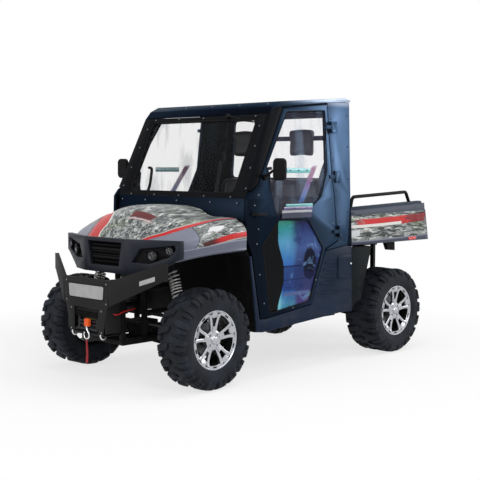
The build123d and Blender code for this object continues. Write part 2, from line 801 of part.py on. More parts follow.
quarter_outline = [
    (-234, 1918.5), (-233, 1647), (-240, 1357), (-280, 998), (-305, 909), (-172, 859), (-168, 850),
    (-405, 878), (rear_x(880), 880), (rear_x(1931), 1931),
]
with BuildPart() as quarters:
    add(side_skin(quarter_outline))
    for share in hinge_shares:
        for low, high in ((-hinge_half, -door_barrel_half - 0.5), (door_barrel_half + 0.5, hinge_half)):
            add(hinge_rod(share, low, high, hinge_barrel))
        add(hinge_leaf(share, -leaf_reach, 0, -1, hinge_half - 2))
        add(hinge_rod(share, -door_barrel_half - 0.5, door_barrel_half + 0.5, hinge_barrel + 1),
            mode=Mode.SUBTRACT)
        add(hinge_rod(share, -hinge_half, hinge_half, hinge_pin))
    mirror(about=Plane.XZ)
    add(roof.part, mode=Mode.SUBTRACT)
    add(rear_wall.part, mode=Mode.SUBTRACT)
write("cab_quarters", quarters)

arm_foot = (486, 684, 1380)
mirror_x = 485
mirror_z = (1358, 1508)
with BuildPart() as left_mirror:
    with BuildSketch(Plane.YZ.offset(mirror_x - 14)):
        with Locations(((mirror_y[0] + mirror_y[1]) / 2, (mirror_z[0] + mirror_z[1]) / 2)):
            RectangleRounded(mirror_y[1] - mirror_y[0], mirror_z[1] - mirror_z[0], 34)
    extrude(amount=28)
    fillet(left_mirror.part.edges().filter_by(GeomType.LINE, reverse=True).group_by(Axis.X)[-1], 9)
    add(rod(arm_foot, (mirror_x + 10, mirror_y[0] + 20, sum(mirror_z) / 2), 9))
    add(rod(arm_foot, (arm_foot[0], arm_foot[1] + 16, arm_foot[2]), 20))
    add(left_door.part, mode=Mode.SUBTRACT)
write("mirror_left", left_mirror)
with BuildPart() as right_mirror:
    add(mirror(left_mirror.part, about=Plane.XZ))
write("mirror_right", right_mirror)

cowl_half = floor_half - door_gap
with BuildPart() as cowl:
    add(across(sheet_line([(toe_top[0] + sheet, toe_top[1]), screen_foot], -sheet), -cowl_half, cowl_half))
    add(floor_pan.part, mode=Mode.SUBTRACT)
    add(roll_cage.part, mode=Mode.SUBTRACT)
write("cowl_panel", cowl)

side_plate = 26
sill_outline = [
    (510, 322), (571, 329), (640, 850), (625, 850), (541, 412), (470, 411), (-3, 464), (-161, 843),
    (-405, 871), (-462, 858), (-476, 372), (-366, 377),
]
lid_box = (-462, -290, 636, 800)
with BuildPart() as side_panels:
    add(side_skin(sill_outline, thickness=side_plate, inset=2))
    x_low, x_high, z_low, z_high = lid_box
    add(side_skin([(x_low, z_low), (x_high, z_low), (x_high - 6, z_high), (x_low + 6, z_high)],
                  thickness=10, inset=-3))
    mirror(about=Plane.XZ)
write("side_panels", side_panels)

guard_outline = [(-462.3, 857), (-740, 846), (-691, 775), (-585, 446), (-524, 437), (-476.3, 372)]
guard_line = [(-740, 846), (-691, 775), (-585, 446)]
guard_depth = 200
with BuildPart() as mudguards:
    add(side_skin(guard_outline, thickness=16, inset=4))
    add(across(sheet_line(guard_line, -6), cab_half_width - guard_depth, cab_half_width - 18))
    mirror(about=Plane.XZ)
write("rear_mudguards", mudguards)

# ---------------------------------------------------------------- cab interior
with BuildPart() as dash:
    add(across([(660, 1188), (470, 1196), (412, 1130), (400, 985), (445, 880), (660, 880)],
               -cage_low_y, cage_low_y))
    fillet(dash.part.edges().filter_by(Axis.Y).sort_by(Axis.X)[:2], 18)
    add(floor_pan.part, mode=Mode.SUBTRACT)
    add(cowl.part, mode=Mode.SUBTRACT)
    add(roll_cage.part, mode=Mode.SUBTRACT)
    add(brick(620, 700, -700, 700, 800, 1300), mode=Mode.SUBTRACT)
    wheel_center = Vector(312, 340, 1128)
    wheel_axis = Vector(-cos(radians(34)), 0, sin(radians(34)))
    column_radius = 17
    add(rod(tuple(wheel_center), tuple(wheel_center - wheel_axis * 230), column_radius + 0.3),
        mode=Mode.SUBTRACT)
write("dash_panel", dash)

wheel_radius = 172
wheel_tube = 14
with BuildPart() as steering_wheel:
    frame = Plane(origin=tuple(wheel_center), x_dir=(0, 1, 0), z_dir=tuple(wheel_axis))
    with BuildSketch(Plane(origin=tuple(wheel_center), x_dir=(0, 1, 0),
                           z_dir=tuple(wheel_axis.cross(Vector(0, 1, 0))))):
        with Locations((wheel_radius, 0)):
            Circle(wheel_tube)
    revolve(axis=Axis(tuple(wheel_center), tuple(wheel_axis)))
    with BuildSketch(frame.offset(-8)):
        Circle(44)
        for angle in (0, 180, 270):
            with Locations((wheel_radius / 2 * cos(radians(angle)), wheel_radius / 2 * sin(radians(angle)))):
                Rectangle(wheel_radius, 30, rotation=angle)
    extrude(amount=14)
    add(rod(tuple(wheel_center), tuple(wheel_center - wheel_axis * 222), column_radius))
write("steering_wheel", steering_wheel)

seat_half = cage_low_y - cage - 24
seat_low = (-390, 120)
cushion_z = (690, 800)
back_line = [(-232, cushion_z[1] + 4), (-345, 1385), (-424, 1385), (-388, 900), (-388, cushion_z[1] + 4)]
with BuildPart() as seat_base:
    add(brick(*seat_low, -seat_half, seat_half, floor_top, cushion_z[0]))
    add(roll_cage.part, mode=Mode.SUBTRACT)
write("seat_base", seat_base)
with BuildPart() as seat_cushion:
    add(brick(seat_low[0] + 40, seat_low[1] + 16, -seat_half, seat_half, cushion_z[0] + 0.3, cushion_z[1]))
    fillet(seat_cushion.part.edges().group_by(Axis.Z)[-1], 22)
write("seat_cushion", seat_cushion)
with BuildPart() as seat_back:
    add(across(back_line, -seat_half, seat_half))
    fillet(seat_back.part.edges().filter_by(Axis.Y).group_by(Axis.Z)[-1], 24)
    add(rod((-372, -700, 1100), (-372, 700, 1100), cage - 4 + 0.3), mode=Mode.SUBTRACT)
write("seat_back", seat_back)
headrest = (180, 412, 1530, 1738)
with BuildPart() as headrests:
    face_x = headrest_bar_x + cage - 4
    add(brick(face_x + 0.3, face_x + 66, *headrest))
    fillet(headrests.part.edges().group_by(Axis.X)[-1], 20)
    mirror(about=Plane.XZ)
write("headrests", headrests)

# ---------------------------------------------------------------- front body
fascia_nose = (1320, 215)
fascia_ear = (1180, 592)
fascia_wall = 34
slope = ((fascia_nose[0] - fascia_ear[0]), (fascia_ear[1] - fascia_nose[1]))
facet = hypot(*slope)
facet_out = (slope[1] / facet, slope[0] / facet)
lamps = [
    # y, z, radius
    (396, 871, 31),
    (512, 905, 26),
]
grille_half = (178, 148)
grille_z = (788, 948)
recess = [(257, 822), (317, 914), (557, 944), (566, 914), (519, 863), (385, 817)]


def facet_x(y):
    """The fascia's face at a half width."""
    if abs(y) <= fascia_nose[1]:
        return fascia_nose[0]
    return fascia_nose[0] - slope[0] * (abs(y) - fascia_nose[1]) / slope[1]


def facet_plane(y, z):
    """A plane on the fascia's left facet, facing out."""
    return Plane(origin=(facet_x(y), y, z), x_dir=(-slope[0], slope[1], 0), z_dir=(*facet_out, 0))


def ahead_of_fascia(gap):
    """The space in front of the fascia's back, less a gap behind it."""
    back = [(facet_x(y) - fascia_wall - gap, y) for y in (-800, -fascia_nose[1], fascia_nose[1], 800)]
    return upward(back + [(1700, 800), (1700, -800)], 700, 1300)


hood_gap = 6
hood_rear_x = cowl_foot_x + hood_gap
fender_rear_x = 686
station_x = (front_axle - 130, front_axle + 100, front_axle + 290)
hood_sections = [
    # the (y, z) corners from the hood's edge to its middle, at the cowl and at each station
    [(606, 1094), (480, 1098), (345, 1101), (262, 1142), (130, 1164)],
    [(566, 1080), (450, 1092), (330, 1106), (235, 1148), (110, 1170)],
    [(420, 1010), (340, 1058), (250, 1092), (170, 1124), (80, 1142)],
    [(292, 936), (235, 942), (170, 948), (110, 952), (50, 954)],
]
fender_sections = [
    # the (y, z) corners below the hood's edge, out to the fender's lower edge
    [(672, 1062), (700, 1016), (698, 912)],
    [(655, 1052), (698, 1006), (698, 908)],
    [(560, 1000), (652, 966), (656, 892)],
    [(430, 940), (520, 930), (540, 850)],
]
hood_hinge = (1279.5, 966)
hood_hinge_radius = 5
hood_hinge_y = (140, 180)
with BuildPart() as hood:
    for x, half in zip((hood_rear_x,) + station_x, hood_sections):
        line = [(-y, z) for y, z in half] + [(y, z) for y, z in reversed(half)]
        with BuildSketch(Plane.YZ.offset(x)):
            with BuildLine():
                Polyline(*sheet_line(line, hood_sheet), close=True)
            make_face()
    loft(ruled=True)
    add(ahead_of_fascia(12), mode=Mode.SUBTRACT)
    for side in (-1, 1):
        low, high = sorted((side * hood_hinge_y[0], side * hood_hinge_y[1]))
        add(across([(1262, 950), (1276, 962), (1279, 970), (1270, 970), (1250, 960)], low, high))
        add(rod((hood_hinge[0], low, hood_hinge[1]), (hood_hinge[0], high, hood_hinge[1]), hood_hinge_radius))
        add(rod((hood_hinge[0], low, hood_hinge[1]), (hood_hinge[0], high, hood_hinge[1]), 2.05),
            mode=Mode.SUBTRACT)
write("hood", hood)

with BuildPart() as fenders:
    for x, hood_half, half in zip((fender_rear_x,) + station_x, hood_sections, fender_sections):
        y, z = hood_half[0]
        with BuildSketch(Plane.YZ.offset(x)):
            with BuildLine():
                Polyline(*sheet_line([(y + hood_gap + 2, z)] + half, hood_sheet), close=True)
            make_face()
    loft(ruled=True)
    add(ahead_of_fascia(0), mode=Mode.SUBTRACT)
    mirror(about=Plane.XZ)
write("front_fenders", fenders)

liner_line = [(571, 329), (640, 850), (702, 919), (1090, 901)]
liner_y = (470, cab_half_width - 10)
with BuildPart() as arch_liners:
    add(across(sheet_line(liner_line, 6), *liner_y))
    mirror(about=Plane.XZ)
    add(fenders.part, mode=Mode.SUBTRACT)
    add(side_panels.part, mode=Mode.SUBTRACT)
write("arch_liners", arch_liners)

with BuildPart() as fascia:
    front = [(facet_x(y), y) for y in (-fascia_ear[1], -fascia_nose[1], fascia_nose[1], fascia_ear[1])]
    back = [(x - fascia_wall, y) for x, y in reversed(front)]
    add(upward(front + back, *fascia_z))
    lower_cut = [(400, 700), (400, 748), (470, 790), (560, 845), (620, 865), (620, 700)]
    add(along(lower_cut, 1000, 1400), mode=Mode.SUBTRACT)
    add(along([(-y, z) for y, z in lower_cut], 1000, 1400), mode=Mode.SUBTRACT)
    add(along([(-grille_half[1], grille_z[0]), (grille_half[1], grille_z[0]), (grille_half[0], grille_z[1]),
               (-grille_half[0], grille_z[1])], 1000, 1400), mode=Mode.SUBTRACT)
    for side in (-1, 1):
        add(along([(side * y, z) for y, z in recess], 1000, 1400), mode=Mode.SUBTRACT)
    for side in (-1, 1):
        for y in (hood_hinge_y[0] - 8.5, hood_hinge_y[1] + 0.5):
            low, high = sorted((side * y, side * (y + 8)))
            add(brick(hood_hinge[0] - 5, fascia_nose[0] - 20, low, high, hood_hinge[1] - 5, hood_hinge[1] + 5))
        low, high = sorted((side * (hood_hinge_y[0] - 4), side * (hood_hinge_y[1] + 4)))
        add(rod((hood_hinge[0], low, hood_hinge[1]), (hood_hinge[0], high, hood_hinge[1]), 2))
write("front_fascia", fascia)

with BuildPart() as grille:
    x = fascia_nose[0] - fascia_wall
    grid = [(grille_half[1], grille_z[0]), (grille_half[0], grille_z[1])]
    add(along([(-grid[0][0], grid[0][1]), grid[0], grid[1], (-grid[1][0], grid[1][1])], x, x + 10))
    with BuildSketch(Plane.YZ.offset(x + 10)):
        with Locations((0, (grille_z[0] + grille_z[1]) / 2)):
            with GridLocations(1, 22, 1, 6):
                Rectangle(grille_half[1] * 2 - 4, 7)
    extrude(amount=9)
write("grille", grille)

with BuildPart() as headlamps:
    backing = [(facet_x(y) - fascia_wall, y) for y in (257, 566)]
    shell = [(x + 10, y) for x, y in reversed(backing)]
    add(upward(backing + shell, 800, 950))
    add(along(recess, 1000, 1400), mode=Mode.INTERSECT)
    for y, z, radius in lamps:
        with BuildSketch(facet_plane(y, z).offset(-fascia_wall + 4)):
            Circle(radius)
        extrude(amount=fascia_wall - 12)
    mirror(about=Plane.XZ)
write("headlamps", headlamps)

bumper_x = half_length - bumper_setback
plate_half = (222, 250)
plate_z = (526, 713)
wing_start_y = 222
wing_end = (1289, 600)
wing_top = [(250, 713), (574, 833)]
wing_side = [(226, 535), *wing_top, (596, 833), (596, 722), (574, 722)]
winch_z = (338, 526)
winch_half = (172, 216)
winch_mouth = (128, 352, 516)
plate_top = [wing_top[0], wing_top[1], (574, 833 - bumper_plate), (250, 713 - bumper_plate)]


def bumper_wing(side, outline, depth):
    """A swept-back sheet of the bumper's wing, cut to an outline in (y, z)."""
    x0, y0 = bumper_x, plate_half[1]
    slope = (wing_end[0] - x0) / (wing_end[1] - y0)
    length = hypot(slope, 1)
    back = (-depth / length, depth * slope / length)
    start = (x0 - slope * (y0 - wing_start_y), wing_start_y)
    plan = [start, wing_end, (wing_end[0] + back[0], wing_end[1] + back[1]),
            (start[0] + back[0], start[1] + back[1])]
    with BuildPart() as wing:
        add(upward([(x, side * y) for x, y in plan], 480, 860))
        add(along([(side * y, z) for y, z in outline], 1200, 1600), mode=Mode.INTERSECT)
    return wing.part


with BuildPart() as bumper:
    add(along([(-plate_half[0], plate_z[0]), (plate_half[0], plate_z[0]), (plate_half[1], plate_z[1]),
               (-plate_half[1], plate_z[1])], bumper_x - bumper_plate, bumper_x))
    add(along([(-winch_half[0], winch_z[0]), (winch_half[0], winch_z[0]), (winch_half[1], winch_z[1]),
               (-winch_half[1], winch_z[1])], bumper_x - bumper_plate, bumper_x))
    add(brick(bumper_x - bumper_flange, bumper_x, -plate_half[1], plate_half[1], plate_z[1] - bumper_plate,
              plate_z[1]))
    add(along([(-winch_mouth[0], winch_mouth[1]), (winch_mouth[0], winch_mouth[1]),
               (winch_mouth[0], winch_mouth[2]), (-winch_mouth[0], winch_mouth[2])], 1400, 1500),
        mode=Mode.SUBTRACT)
    for side in (-1, 1):
        add(bumper_wing(side, wing_side, bumper_plate))
        add(bumper_wing(side, plate_top, bumper_flange))
        edges = sorted((side * (frame_y - 8), side * (frame_y + 4)))
        add(brick(rail_x[1] + thin + weld_gap, bumper_x - bumper_plate, *edges, 360, 640))
    tray_half = frame_y - thin - weld_gap
    add(brick(1300, bumper_x - bumper_plate, -tray_half, tray_half, winch_z[0], winch_z[0] + 8))
    add(brick(bumper_x, bumper_x + 20, -300, 300, 300, 800), mode=Mode.SUBTRACT)
write("front_bumper", bumper)

drum_x = bumper_x - 79
drum_z = 432
fairlead_x = bumper_x - bumper_plate - 34
with BuildPart() as winch:
    add(rod((drum_x, -190, drum_z), (drum_x, -66, drum_z), 40))
    add(rod((drum_x, 66, drum_z), (drum_x, 190, drum_z), 40))
    add(rod((drum_x, -80, drum_z), (drum_x, 80, drum_z), 30))
    add(brick(drum_x - 50, drum_x + 50, -120, 120, winch_z[0] + 8, winch_z[0] + 62))
    for z in (374, 500):
        add(brick(fairlead_x, bumper_x - bumper_plate, -110, 110, z - 8, z + 8))
    for y in (-98, 98):
        add(rod((fairlead_x + 17, y, 374), (fairlead_x + 17, y, 500), 11))
    for z in (402, 424):
        add(rod((fairlead_x + 17, -98, z), (fairlead_x + 17, 98, z), 9))
write("winch", winch)

# The rope's stopper block in the mouth, its hook and the pull strap below it.
rope_y = 12
rope_gap = 0.3
stopper_z = (392, 446)
hook_z = 338
hook_plane = Plane.YZ.offset(bumper_x + rope_gap)
with BuildPart() as tow_hook:
    add(brick(fairlead_x + 26 + rope_gap, half_length, rope_y - 24, rope_y + 24, *stopper_z))
    with BuildSketch(hook_plane):
        with Locations((rope_y, hook_z)):
            Circle(34)
        with Locations((rope_y, (hook_z + stopper_z[0]) / 2 + 15)):
            Rectangle(18, 28)
        with Locations((rope_y, hook_z)):
            Circle(21, mode=Mode.SUBTRACT)
    extrude(amount=9)
    with BuildSketch(hook_plane.offset(2)):
        with Locations((rope_y, 230)):
            Rectangle(24, 164)
    extrude(amount=5)
write("tow_hook", tow_hook)

# ---------------------------------------------------------------- cargo bed
bed_outline = [bed_rear_low, bed_rear_high, (-1361, 1184), (bed_front_x, 1152), (bed_front_x - 15, 868)]
bed_inner_y = cab_half_width - bed_wall
gate_gap = 5
gate_floor_gap = 3.5
gate_wall = 34


def bed_rear_x(z):
    """The bed's slanted rear end at a height."""
    return bed_rear_low[0] + (bed_rear_high[0] - bed_rear_low[0]) * (z - bed_rear_low[1]) / (
        bed_rear_high[1] - bed_rear_low[1])


gate_low = bed_floor_z + 15 + gate_floor_gap
gate_high = 1104
gate_pivot = (bed_rear_x(gate_low) - 8, gate_low - 4)
gate_pin = 3
gate_barrel = 7.5
gate_barrel_y = (360, 430)


def gate_rod(low, high, radius):
    """A round bar on the tailgate's hinge line."""
    x, z = gate_pivot
    return rod((x, low, z), (x, high, z), radius)


with BuildPart() as bed:
    add(across(bed_outline, -cab_half_width, cab_half_width))
    add(across([(-1600, bed_floor_z + 15), (-1600, 1300), (bed_front_x - bed_wall, 1300),
                (bed_front_x - bed_wall - 14, bed_floor_z + 15)], -bed_inner_y, bed_inner_y),
        mode=Mode.SUBTRACT)
    for side in (-1, 1):
        edges = sorted((side * (frame_y - 14), side * (frame_y + 14)))
        add(brick(bed_hinge[0] + 40, -500, *edges, bed_seat_z + 0.3, bed_rear_low[1]))
        edges = sorted((side * bed_lug_y[0], side * bed_lug_y[1]))
        add(brick(bed_hinge[0] - 22, bed_hinge[0] + 22, *edges, bed_hinge[1] - 20, bed_rear_low[1]))
    add(rod((bed_hinge[0], -400, bed_hinge[1]), (bed_hinge[0], 400, bed_hinge[1]), bed_hinge_pin + 0.05),
        mode=Mode.SUBTRACT)
    for side in (-1, 1):
        low, high = sorted((side * gate_barrel_y[0], side * gate_barrel_y[1]))
        add(gate_rod(low - 14, low - 1, gate_barrel))
        add(gate_rod(high + 1, high + 14, gate_barrel))
        for y in (low - 14, high + 1):
            add(brick(gate_pivot[0], gate_pivot[0] + 18, y, y + 13, gate_pivot[1] - gate_barrel,
                      bed_floor_z + 15))
        add(gate_rod(low - 1, high + 1, gate_barrel + 1.5), mode=Mode.SUBTRACT)
        add(gate_rod(low - 14, high + 14, gate_pin))
write("bed_box", bed)

with BuildPart() as tailgate:
    add(across([(bed_rear_x(gate_low), gate_low), (bed_rear_x(gate_high), gate_high),
                (bed_rear_x(gate_high) + gate_wall, gate_high), (bed_rear_x(gate_low) + gate_wall, gate_low)],
               gate_gap - bed_inner_y, bed_inner_y - gate_gap))
    for side in (-1, 1):
        low, high = sorted((side * gate_barrel_y[0], side * gate_barrel_y[1]))
        add(gate_rod(low, high, gate_barrel))
        add(across([(gate_pivot[0] - 4, gate_low - 2), (gate_pivot[0] - 4, gate_low + 14),
                    (gate_pivot[0] + 12, gate_low + 14), (gate_pivot[0] + 12, gate_low + 1)], low, high))
        add(gate_rod(low, high, gate_pin + 0.05), mode=Mode.SUBTRACT)
write("tailgate", tailgate)

lamp_z = (946, 1056)
with BuildPart() as tail_lamps:
    low, high = lamp_z
    add(across([(bed_rear_x(low), low), (bed_rear_x(high), high), (bed_rear_x(high) - 10, high),
                (bed_rear_x(low) - 10, low)], bed_inner_y + 4, cab_half_width - 4))
    mirror(about=Plane.XZ)
write("tail_lamps", tail_lamps)

rail_y = cab_half_width - bed_wall / 2
rail_line = [(-464, 1140), (-488, 1228), (-1176, 1257), (-1232, 1160)]
with BuildPart() as bed_rails:
    add(bent_rod([(x, rail_y, z) for x, z in rail_line], rail_tube / 2, 34))
    mirror(about=Plane.XZ)
    add(bed.part, mode=Mode.SUBTRACT)
write("bed_rails", bed_rails)
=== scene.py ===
import json
import math
import bmesh
import bpy
import numpy as np
from mathutils import Matrix, Vector

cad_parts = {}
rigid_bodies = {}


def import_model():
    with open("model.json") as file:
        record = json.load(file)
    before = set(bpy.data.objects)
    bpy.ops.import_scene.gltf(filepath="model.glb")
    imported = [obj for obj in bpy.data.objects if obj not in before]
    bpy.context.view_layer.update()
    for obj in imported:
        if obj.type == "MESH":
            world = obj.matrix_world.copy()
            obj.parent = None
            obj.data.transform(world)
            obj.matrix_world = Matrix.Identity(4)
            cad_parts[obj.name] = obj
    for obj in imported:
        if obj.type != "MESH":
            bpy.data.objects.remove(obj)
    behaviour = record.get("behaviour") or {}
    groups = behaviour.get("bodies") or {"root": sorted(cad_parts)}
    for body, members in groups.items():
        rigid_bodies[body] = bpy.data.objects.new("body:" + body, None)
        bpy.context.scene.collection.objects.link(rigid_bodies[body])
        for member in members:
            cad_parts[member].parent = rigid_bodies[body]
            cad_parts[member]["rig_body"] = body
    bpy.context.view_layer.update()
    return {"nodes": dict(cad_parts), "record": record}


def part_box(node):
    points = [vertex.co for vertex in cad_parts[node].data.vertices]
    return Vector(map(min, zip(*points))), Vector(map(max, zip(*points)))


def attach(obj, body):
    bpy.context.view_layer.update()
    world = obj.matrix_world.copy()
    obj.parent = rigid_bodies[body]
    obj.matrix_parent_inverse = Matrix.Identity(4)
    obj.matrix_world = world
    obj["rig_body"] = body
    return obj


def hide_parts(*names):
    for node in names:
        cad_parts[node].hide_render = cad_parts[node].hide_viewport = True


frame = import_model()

# The looks of a two-seat side by side utility vehicle with a closed cab. Metres, +X forward,
# +Y left, +Z up, the floor at zero. Every shape below is a formula on a grid of two parameters.
nodes = frame["nodes"]
pi = math.pi

wheelbase = 1.995
axle_x = {"front": wheelbase / 2, "rear": -wheelbase / 2}
front_axle, rear_axle = axle_x.values()
tyre_radius = 0.33
tyre_face = 0.747
tyre_width = {"front": 0.229, "rear": 0.279}
rim_face = 0.735
cab_half = 0.7
waist_z = 1.235
upper_tilt = 0.0902
wall_x, wall_z = -0.41, 0.844
both_sides = (("left", 1), ("right", -1))


# ---------------------------------------------------------------- grids, meshes and pieces
def unit(v):
    """Vectors over their own length."""
    return v / np.maximum(np.linalg.norm(v, axis=-1, keepdims=True), 1e-12)


def resample(table, steps):
    """A table's rows joined by a smooth cubic that passes through each of them (Catmull-Rom)."""
    p = np.asarray(table, float)
    n = len(p)
    t = np.linspace(0, n - 1, steps)
    i = np.clip(t.astype(int), 0, n - 2)
    f = (t - i).reshape((-1,) + (1,) * (p.ndim - 1))
    a, b, c, d = p[np.clip(i - 1, 0, n - 1)], p[i], p[i + 1], p[np.clip(i + 2, 0, n - 1)]
    m0, m1 = (c - a) / 2, (d - b) / 2
    start, end = (2 * f**3 - 3 * f**2 + 1) * b, (3 * f**2 - 2 * f**3) * c
    return start + (f**3 - 2 * f**2 + f) * m0 + end + (f**3 - f**2) * m1


class Form:
    """Point grids gathered into one mesh, with the two parameters of each grid as its UV."""

    def __init__(self):
        self.points, self.faces, self.uv, self.paint = [], [], [], []
        self.count = 0

    def _index(self, p, uv):
        """Adds the points and gives each its number."""
        index = np.arange(p[..., 0].size).reshape(p.shape[:-1]) + self.count
        self.points.append(p.reshape(-1, 3))
        self.uv.append(uv.reshape(-1, 2))
        self.count += index.size
        return index

    def _quads(self, a, paint):
        """Adds the faces between the rows and columns of a grid of point numbers."""
        q = np.stack([a[:-1, :-1], a[1:, :-1], a[1:, 1:], a[:-1, 1:]], -1).reshape(-1, 4)
        self.faces.append(q)
        self.paint.append(np.full(len(q), paint))

    def grid(self, p, wrap_u=False, wrap_v=False, cap=False, paint=0):
        """The surface over p[u, v]; a wrap joins the last row to the first, a cap fans each end shut."""
        p = np.asarray(p, float)
        nu, nv = p.shape[:2]
        uv = np.stack(np.meshgrid(np.linspace(0, 1, nu), np.linspace(0, 1, nv), indexing="ij"), -1)
        a = self._index(p, uv)
        if cap:
            for row, edge in ((0, a[0]), (-1, a[-1])):
                hub = self._index(p[row].mean(0)[None], uv[row, :1])
                ring = np.append(edge, edge[0])
                fan = np.stack([np.full(nv, hub[0]), ring[:-1], ring[1:], ring[1:]], -1)
                self.faces.append(fan)
                self.paint.append(np.full(nv, paint))
        if wrap_u:
            a = np.vstack([a, a[:1]])
        if wrap_v:
            a = np.hstack([a, a[:, :1]])
        self._quads(a, paint)
        return self

    def shell(self, p, thickness, paint=0):
        """A sheet over p[u, v] given a thickness along its normals, closed at all four edges."""
        p = np.asarray(p, float)
        normal = unit(np.cross(np.gradient(p, axis=0), np.gradient(p, axis=1)))
        under = p - normal * thickness
        nu, nv = p.shape[:2]
        uv = np.stack(np.meshgrid(np.linspace(0, 1, nu), np.linspace(0, 1, nv), indexing="ij"), -1)
        a, b = self._index(p, uv), self._index(under, uv)
        rims = ((a[0], b[0]), (a[-1], b[-1]), (a[:, 0], b[:, 0]), (a[:, -1], b[:, -1]))
        for quads in (a, b, *map(np.stack, rims)):
            self._quads(quads, paint)
        return self

    def bar(self, path, profile, toward=(0, 0, 1), scale=None, paint=0):
        """A profile swept along a path, shut at both ends."""
        return self.grid(sweep(path, profile, toward, scale), wrap_v=True, cap=True, paint=paint)

    def pipe(self, path, radius, sides=12, toward=(0, 0, 1)):
        """A round bar along a path."""
        return self.bar(path, circle(radius, sides), toward)

    def block(self, center, size, power=0.3, steps=(14, 28), paint=0):
        """A block with rounded faces."""
        return self.grid(pillow(center, size, power, steps), wrap_v=True, cap=True, paint=paint)

    def slab(self, corners, radius, thickness, normal):
        """A flat plate with rounded corners."""
        return self.grid(plate(corners, radius, thickness, normal), wrap_v=True, cap=True)

    def turned(self, profile, origin=(0, 0, 0), axis=(0, 0, 1), sides=48, paint=0, loop=False):
        """A profile turned about an axis, and joined to its own start when it is a loop."""
        return self.grid(lathe(profile, origin, axis, sides), wrap_u=loop, wrap_v=True, paint=paint)

    def hoop(self, path, profile, toward):
        """A profile carried round a closed path."""
        return self.grid(ring_sweep(path, profile, toward), wrap_u=True, wrap_v=True)

    def repeat(self, moves):
        """The same form at each of a list of 4 by 4 moves."""
        moves = np.asarray(moves, float)
        p = np.concatenate(self.points)
        f, uv, paint = (np.concatenate(rows) for rows in (self.faces, self.uv, self.paint))
        out = Form()
        turned = np.einsum("kij,nj->kni", moves[:, :3, :3], p) + moves[:, None, :3, 3]
        out.points = [turned.reshape(-1, 3)]
        out.faces = [(f[None] + (np.arange(len(moves)) * len(p))[:, None, None]).reshape(-1, 4)]
        out.uv, out.paint = [np.tile(uv, (len(moves), 1))], [np.tile(paint, len(moves))]
        out.count = len(p) * len(moves)
        return out

    def join(self, other):
        """Adds another form's grids to this one."""
        self.points += other.points
        self.faces += [f + self.count for f in other.faces]
        self.uv += other.uv
        self.paint += other.paint
        self.count += other.count
        return self

    def mirrored(self):
        """This form with its mirror image across the vehicle's middle."""
        return self.repeat([np.eye(4), np.diag([1, -1, 1, 1])])

    def build(self, name, materials, crease=35):
        """The mesh object: faces turned outwards, smooth but for edges sharper than the crease."""
        mesh = bpy.data.meshes.new(name)
        faces = [list(dict.fromkeys(f)) for f in np.concatenate(self.faces).tolist()]
        mesh.from_pydata(np.concatenate(self.points).tolist(), [], faces)
        for m in materials:
            mesh.materials.append(m)
        mesh.polygons.foreach_set("material_index", np.concatenate(self.paint).astype(np.int32))
        corner = np.zeros(len(mesh.loops), np.int32)
        mesh.loops.foreach_get("vertex_index", corner)
        layer = mesh.uv_layers.new(name="UVMap")
        layer.data.foreach_set("uv", np.concatenate(self.uv)[corner].astype(np.float32).ravel())
        work = bmesh.new()
        work.from_mesh(mesh)
        bmesh.ops.remove_doubles(work, verts=work.verts, dist=2e-6)
        bmesh.ops.dissolve_degenerate(work, edges=work.edges, dist=1e-7)
        bmesh.ops.recalc_face_normals(work, faces=work.faces)
        work.to_mesh(mesh)
        work.free()
        soften(mesh, crease)
        obj = bpy.data.objects.new(name, mesh)
        bpy.context.scene.collection.objects.link(obj)
        return obj

    def put(self, name, material, crease=40, body="chassis", slot="black_plastic", *replaced):
        """Builds the form in one material and settles it on its body."""
        return settle(self.build(name, [material], crease), body, slot, *replaced)


def soften(mesh, crease):
    """Smooth shading, but for the edges that turn by more than the crease."""
    mesh.polygons.foreach_set("use_smooth", np.ones(len(mesh.polygons), bool))
    mesh.set_sharp_from_angle(angle=math.radians(crease))


def settle(obj, body, slot, *replaced):
    """Puts a piece on its body and hides the solids that it stands for; the slot is not used."""
    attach(obj, body)
    if replaced:
        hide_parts(*replaced)
    return obj


def applied(obj):
    """Applies an object's modifiers to its mesh."""
    done = bpy.data.meshes.new_from_object(obj.evaluated_get(bpy.context.evaluated_depsgraph_get()))
    obj.modifiers.clear()
    old = obj.data
    obj.data = done
    bpy.data.meshes.remove(old)


def dressed(node, material, bevel, crease):
    """A merged copy of a solid with its edges rounded, standing for the solid."""
    source = nodes[node]
    mesh = source.data.copy()
    mesh.name = node + "_finish"
    work = bmesh.new()
    work.from_mesh(mesh)
    bmesh.ops.remove_doubles(work, verts=work.verts, dist=1e-5)
    bmesh.ops.dissolve_limit(work, angle_limit=math.radians(0.6), verts=work.verts, edges=work.edges)
    work.to_mesh(mesh)
    work.free()
    mesh.materials.clear()
    mesh.materials.append(material)
    obj = bpy.data.objects.new(node + "_finish", mesh)
    bpy.context.scene.collection.objects.link(obj)
    if bevel:
        mod = obj.modifiers.new("round", "BEVEL")
        mod.width = bevel
        mod.segments = 2
        mod.limit_method = "ANGLE"
        mod.angle_limit = math.radians(28)
        mod.use_clamp_overlap = True
        applied(obj)
    soften(obj.data, crease)
    return settle(obj, source["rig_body"], slot_of[node], node)


slot_of = {row["node"]: row["material_slot"] for row in frame["record"]["subparts"]}


# ---------------------------------------------------------------- shapes as functions
def sweep(path, profile, toward=(0, 0, 1), scale=None):
    """A flat profile carried along a path, its second axis kept toward a given direction."""
    path, profile = np.asarray(path, float), np.asarray(profile, float)
    along = unit(np.gradient(path, axis=0))
    side = unit(np.cross(along, np.asarray(toward, float)))
    up = np.cross(side, along)
    size = np.ones(len(path)) if scale is None else np.asarray(scale, float)
    across = profile[None, :, 0, None] * side[:, None] + profile[None, :, 1, None] * up[:, None]
    return path[:, None] + across * size[:, None, None]


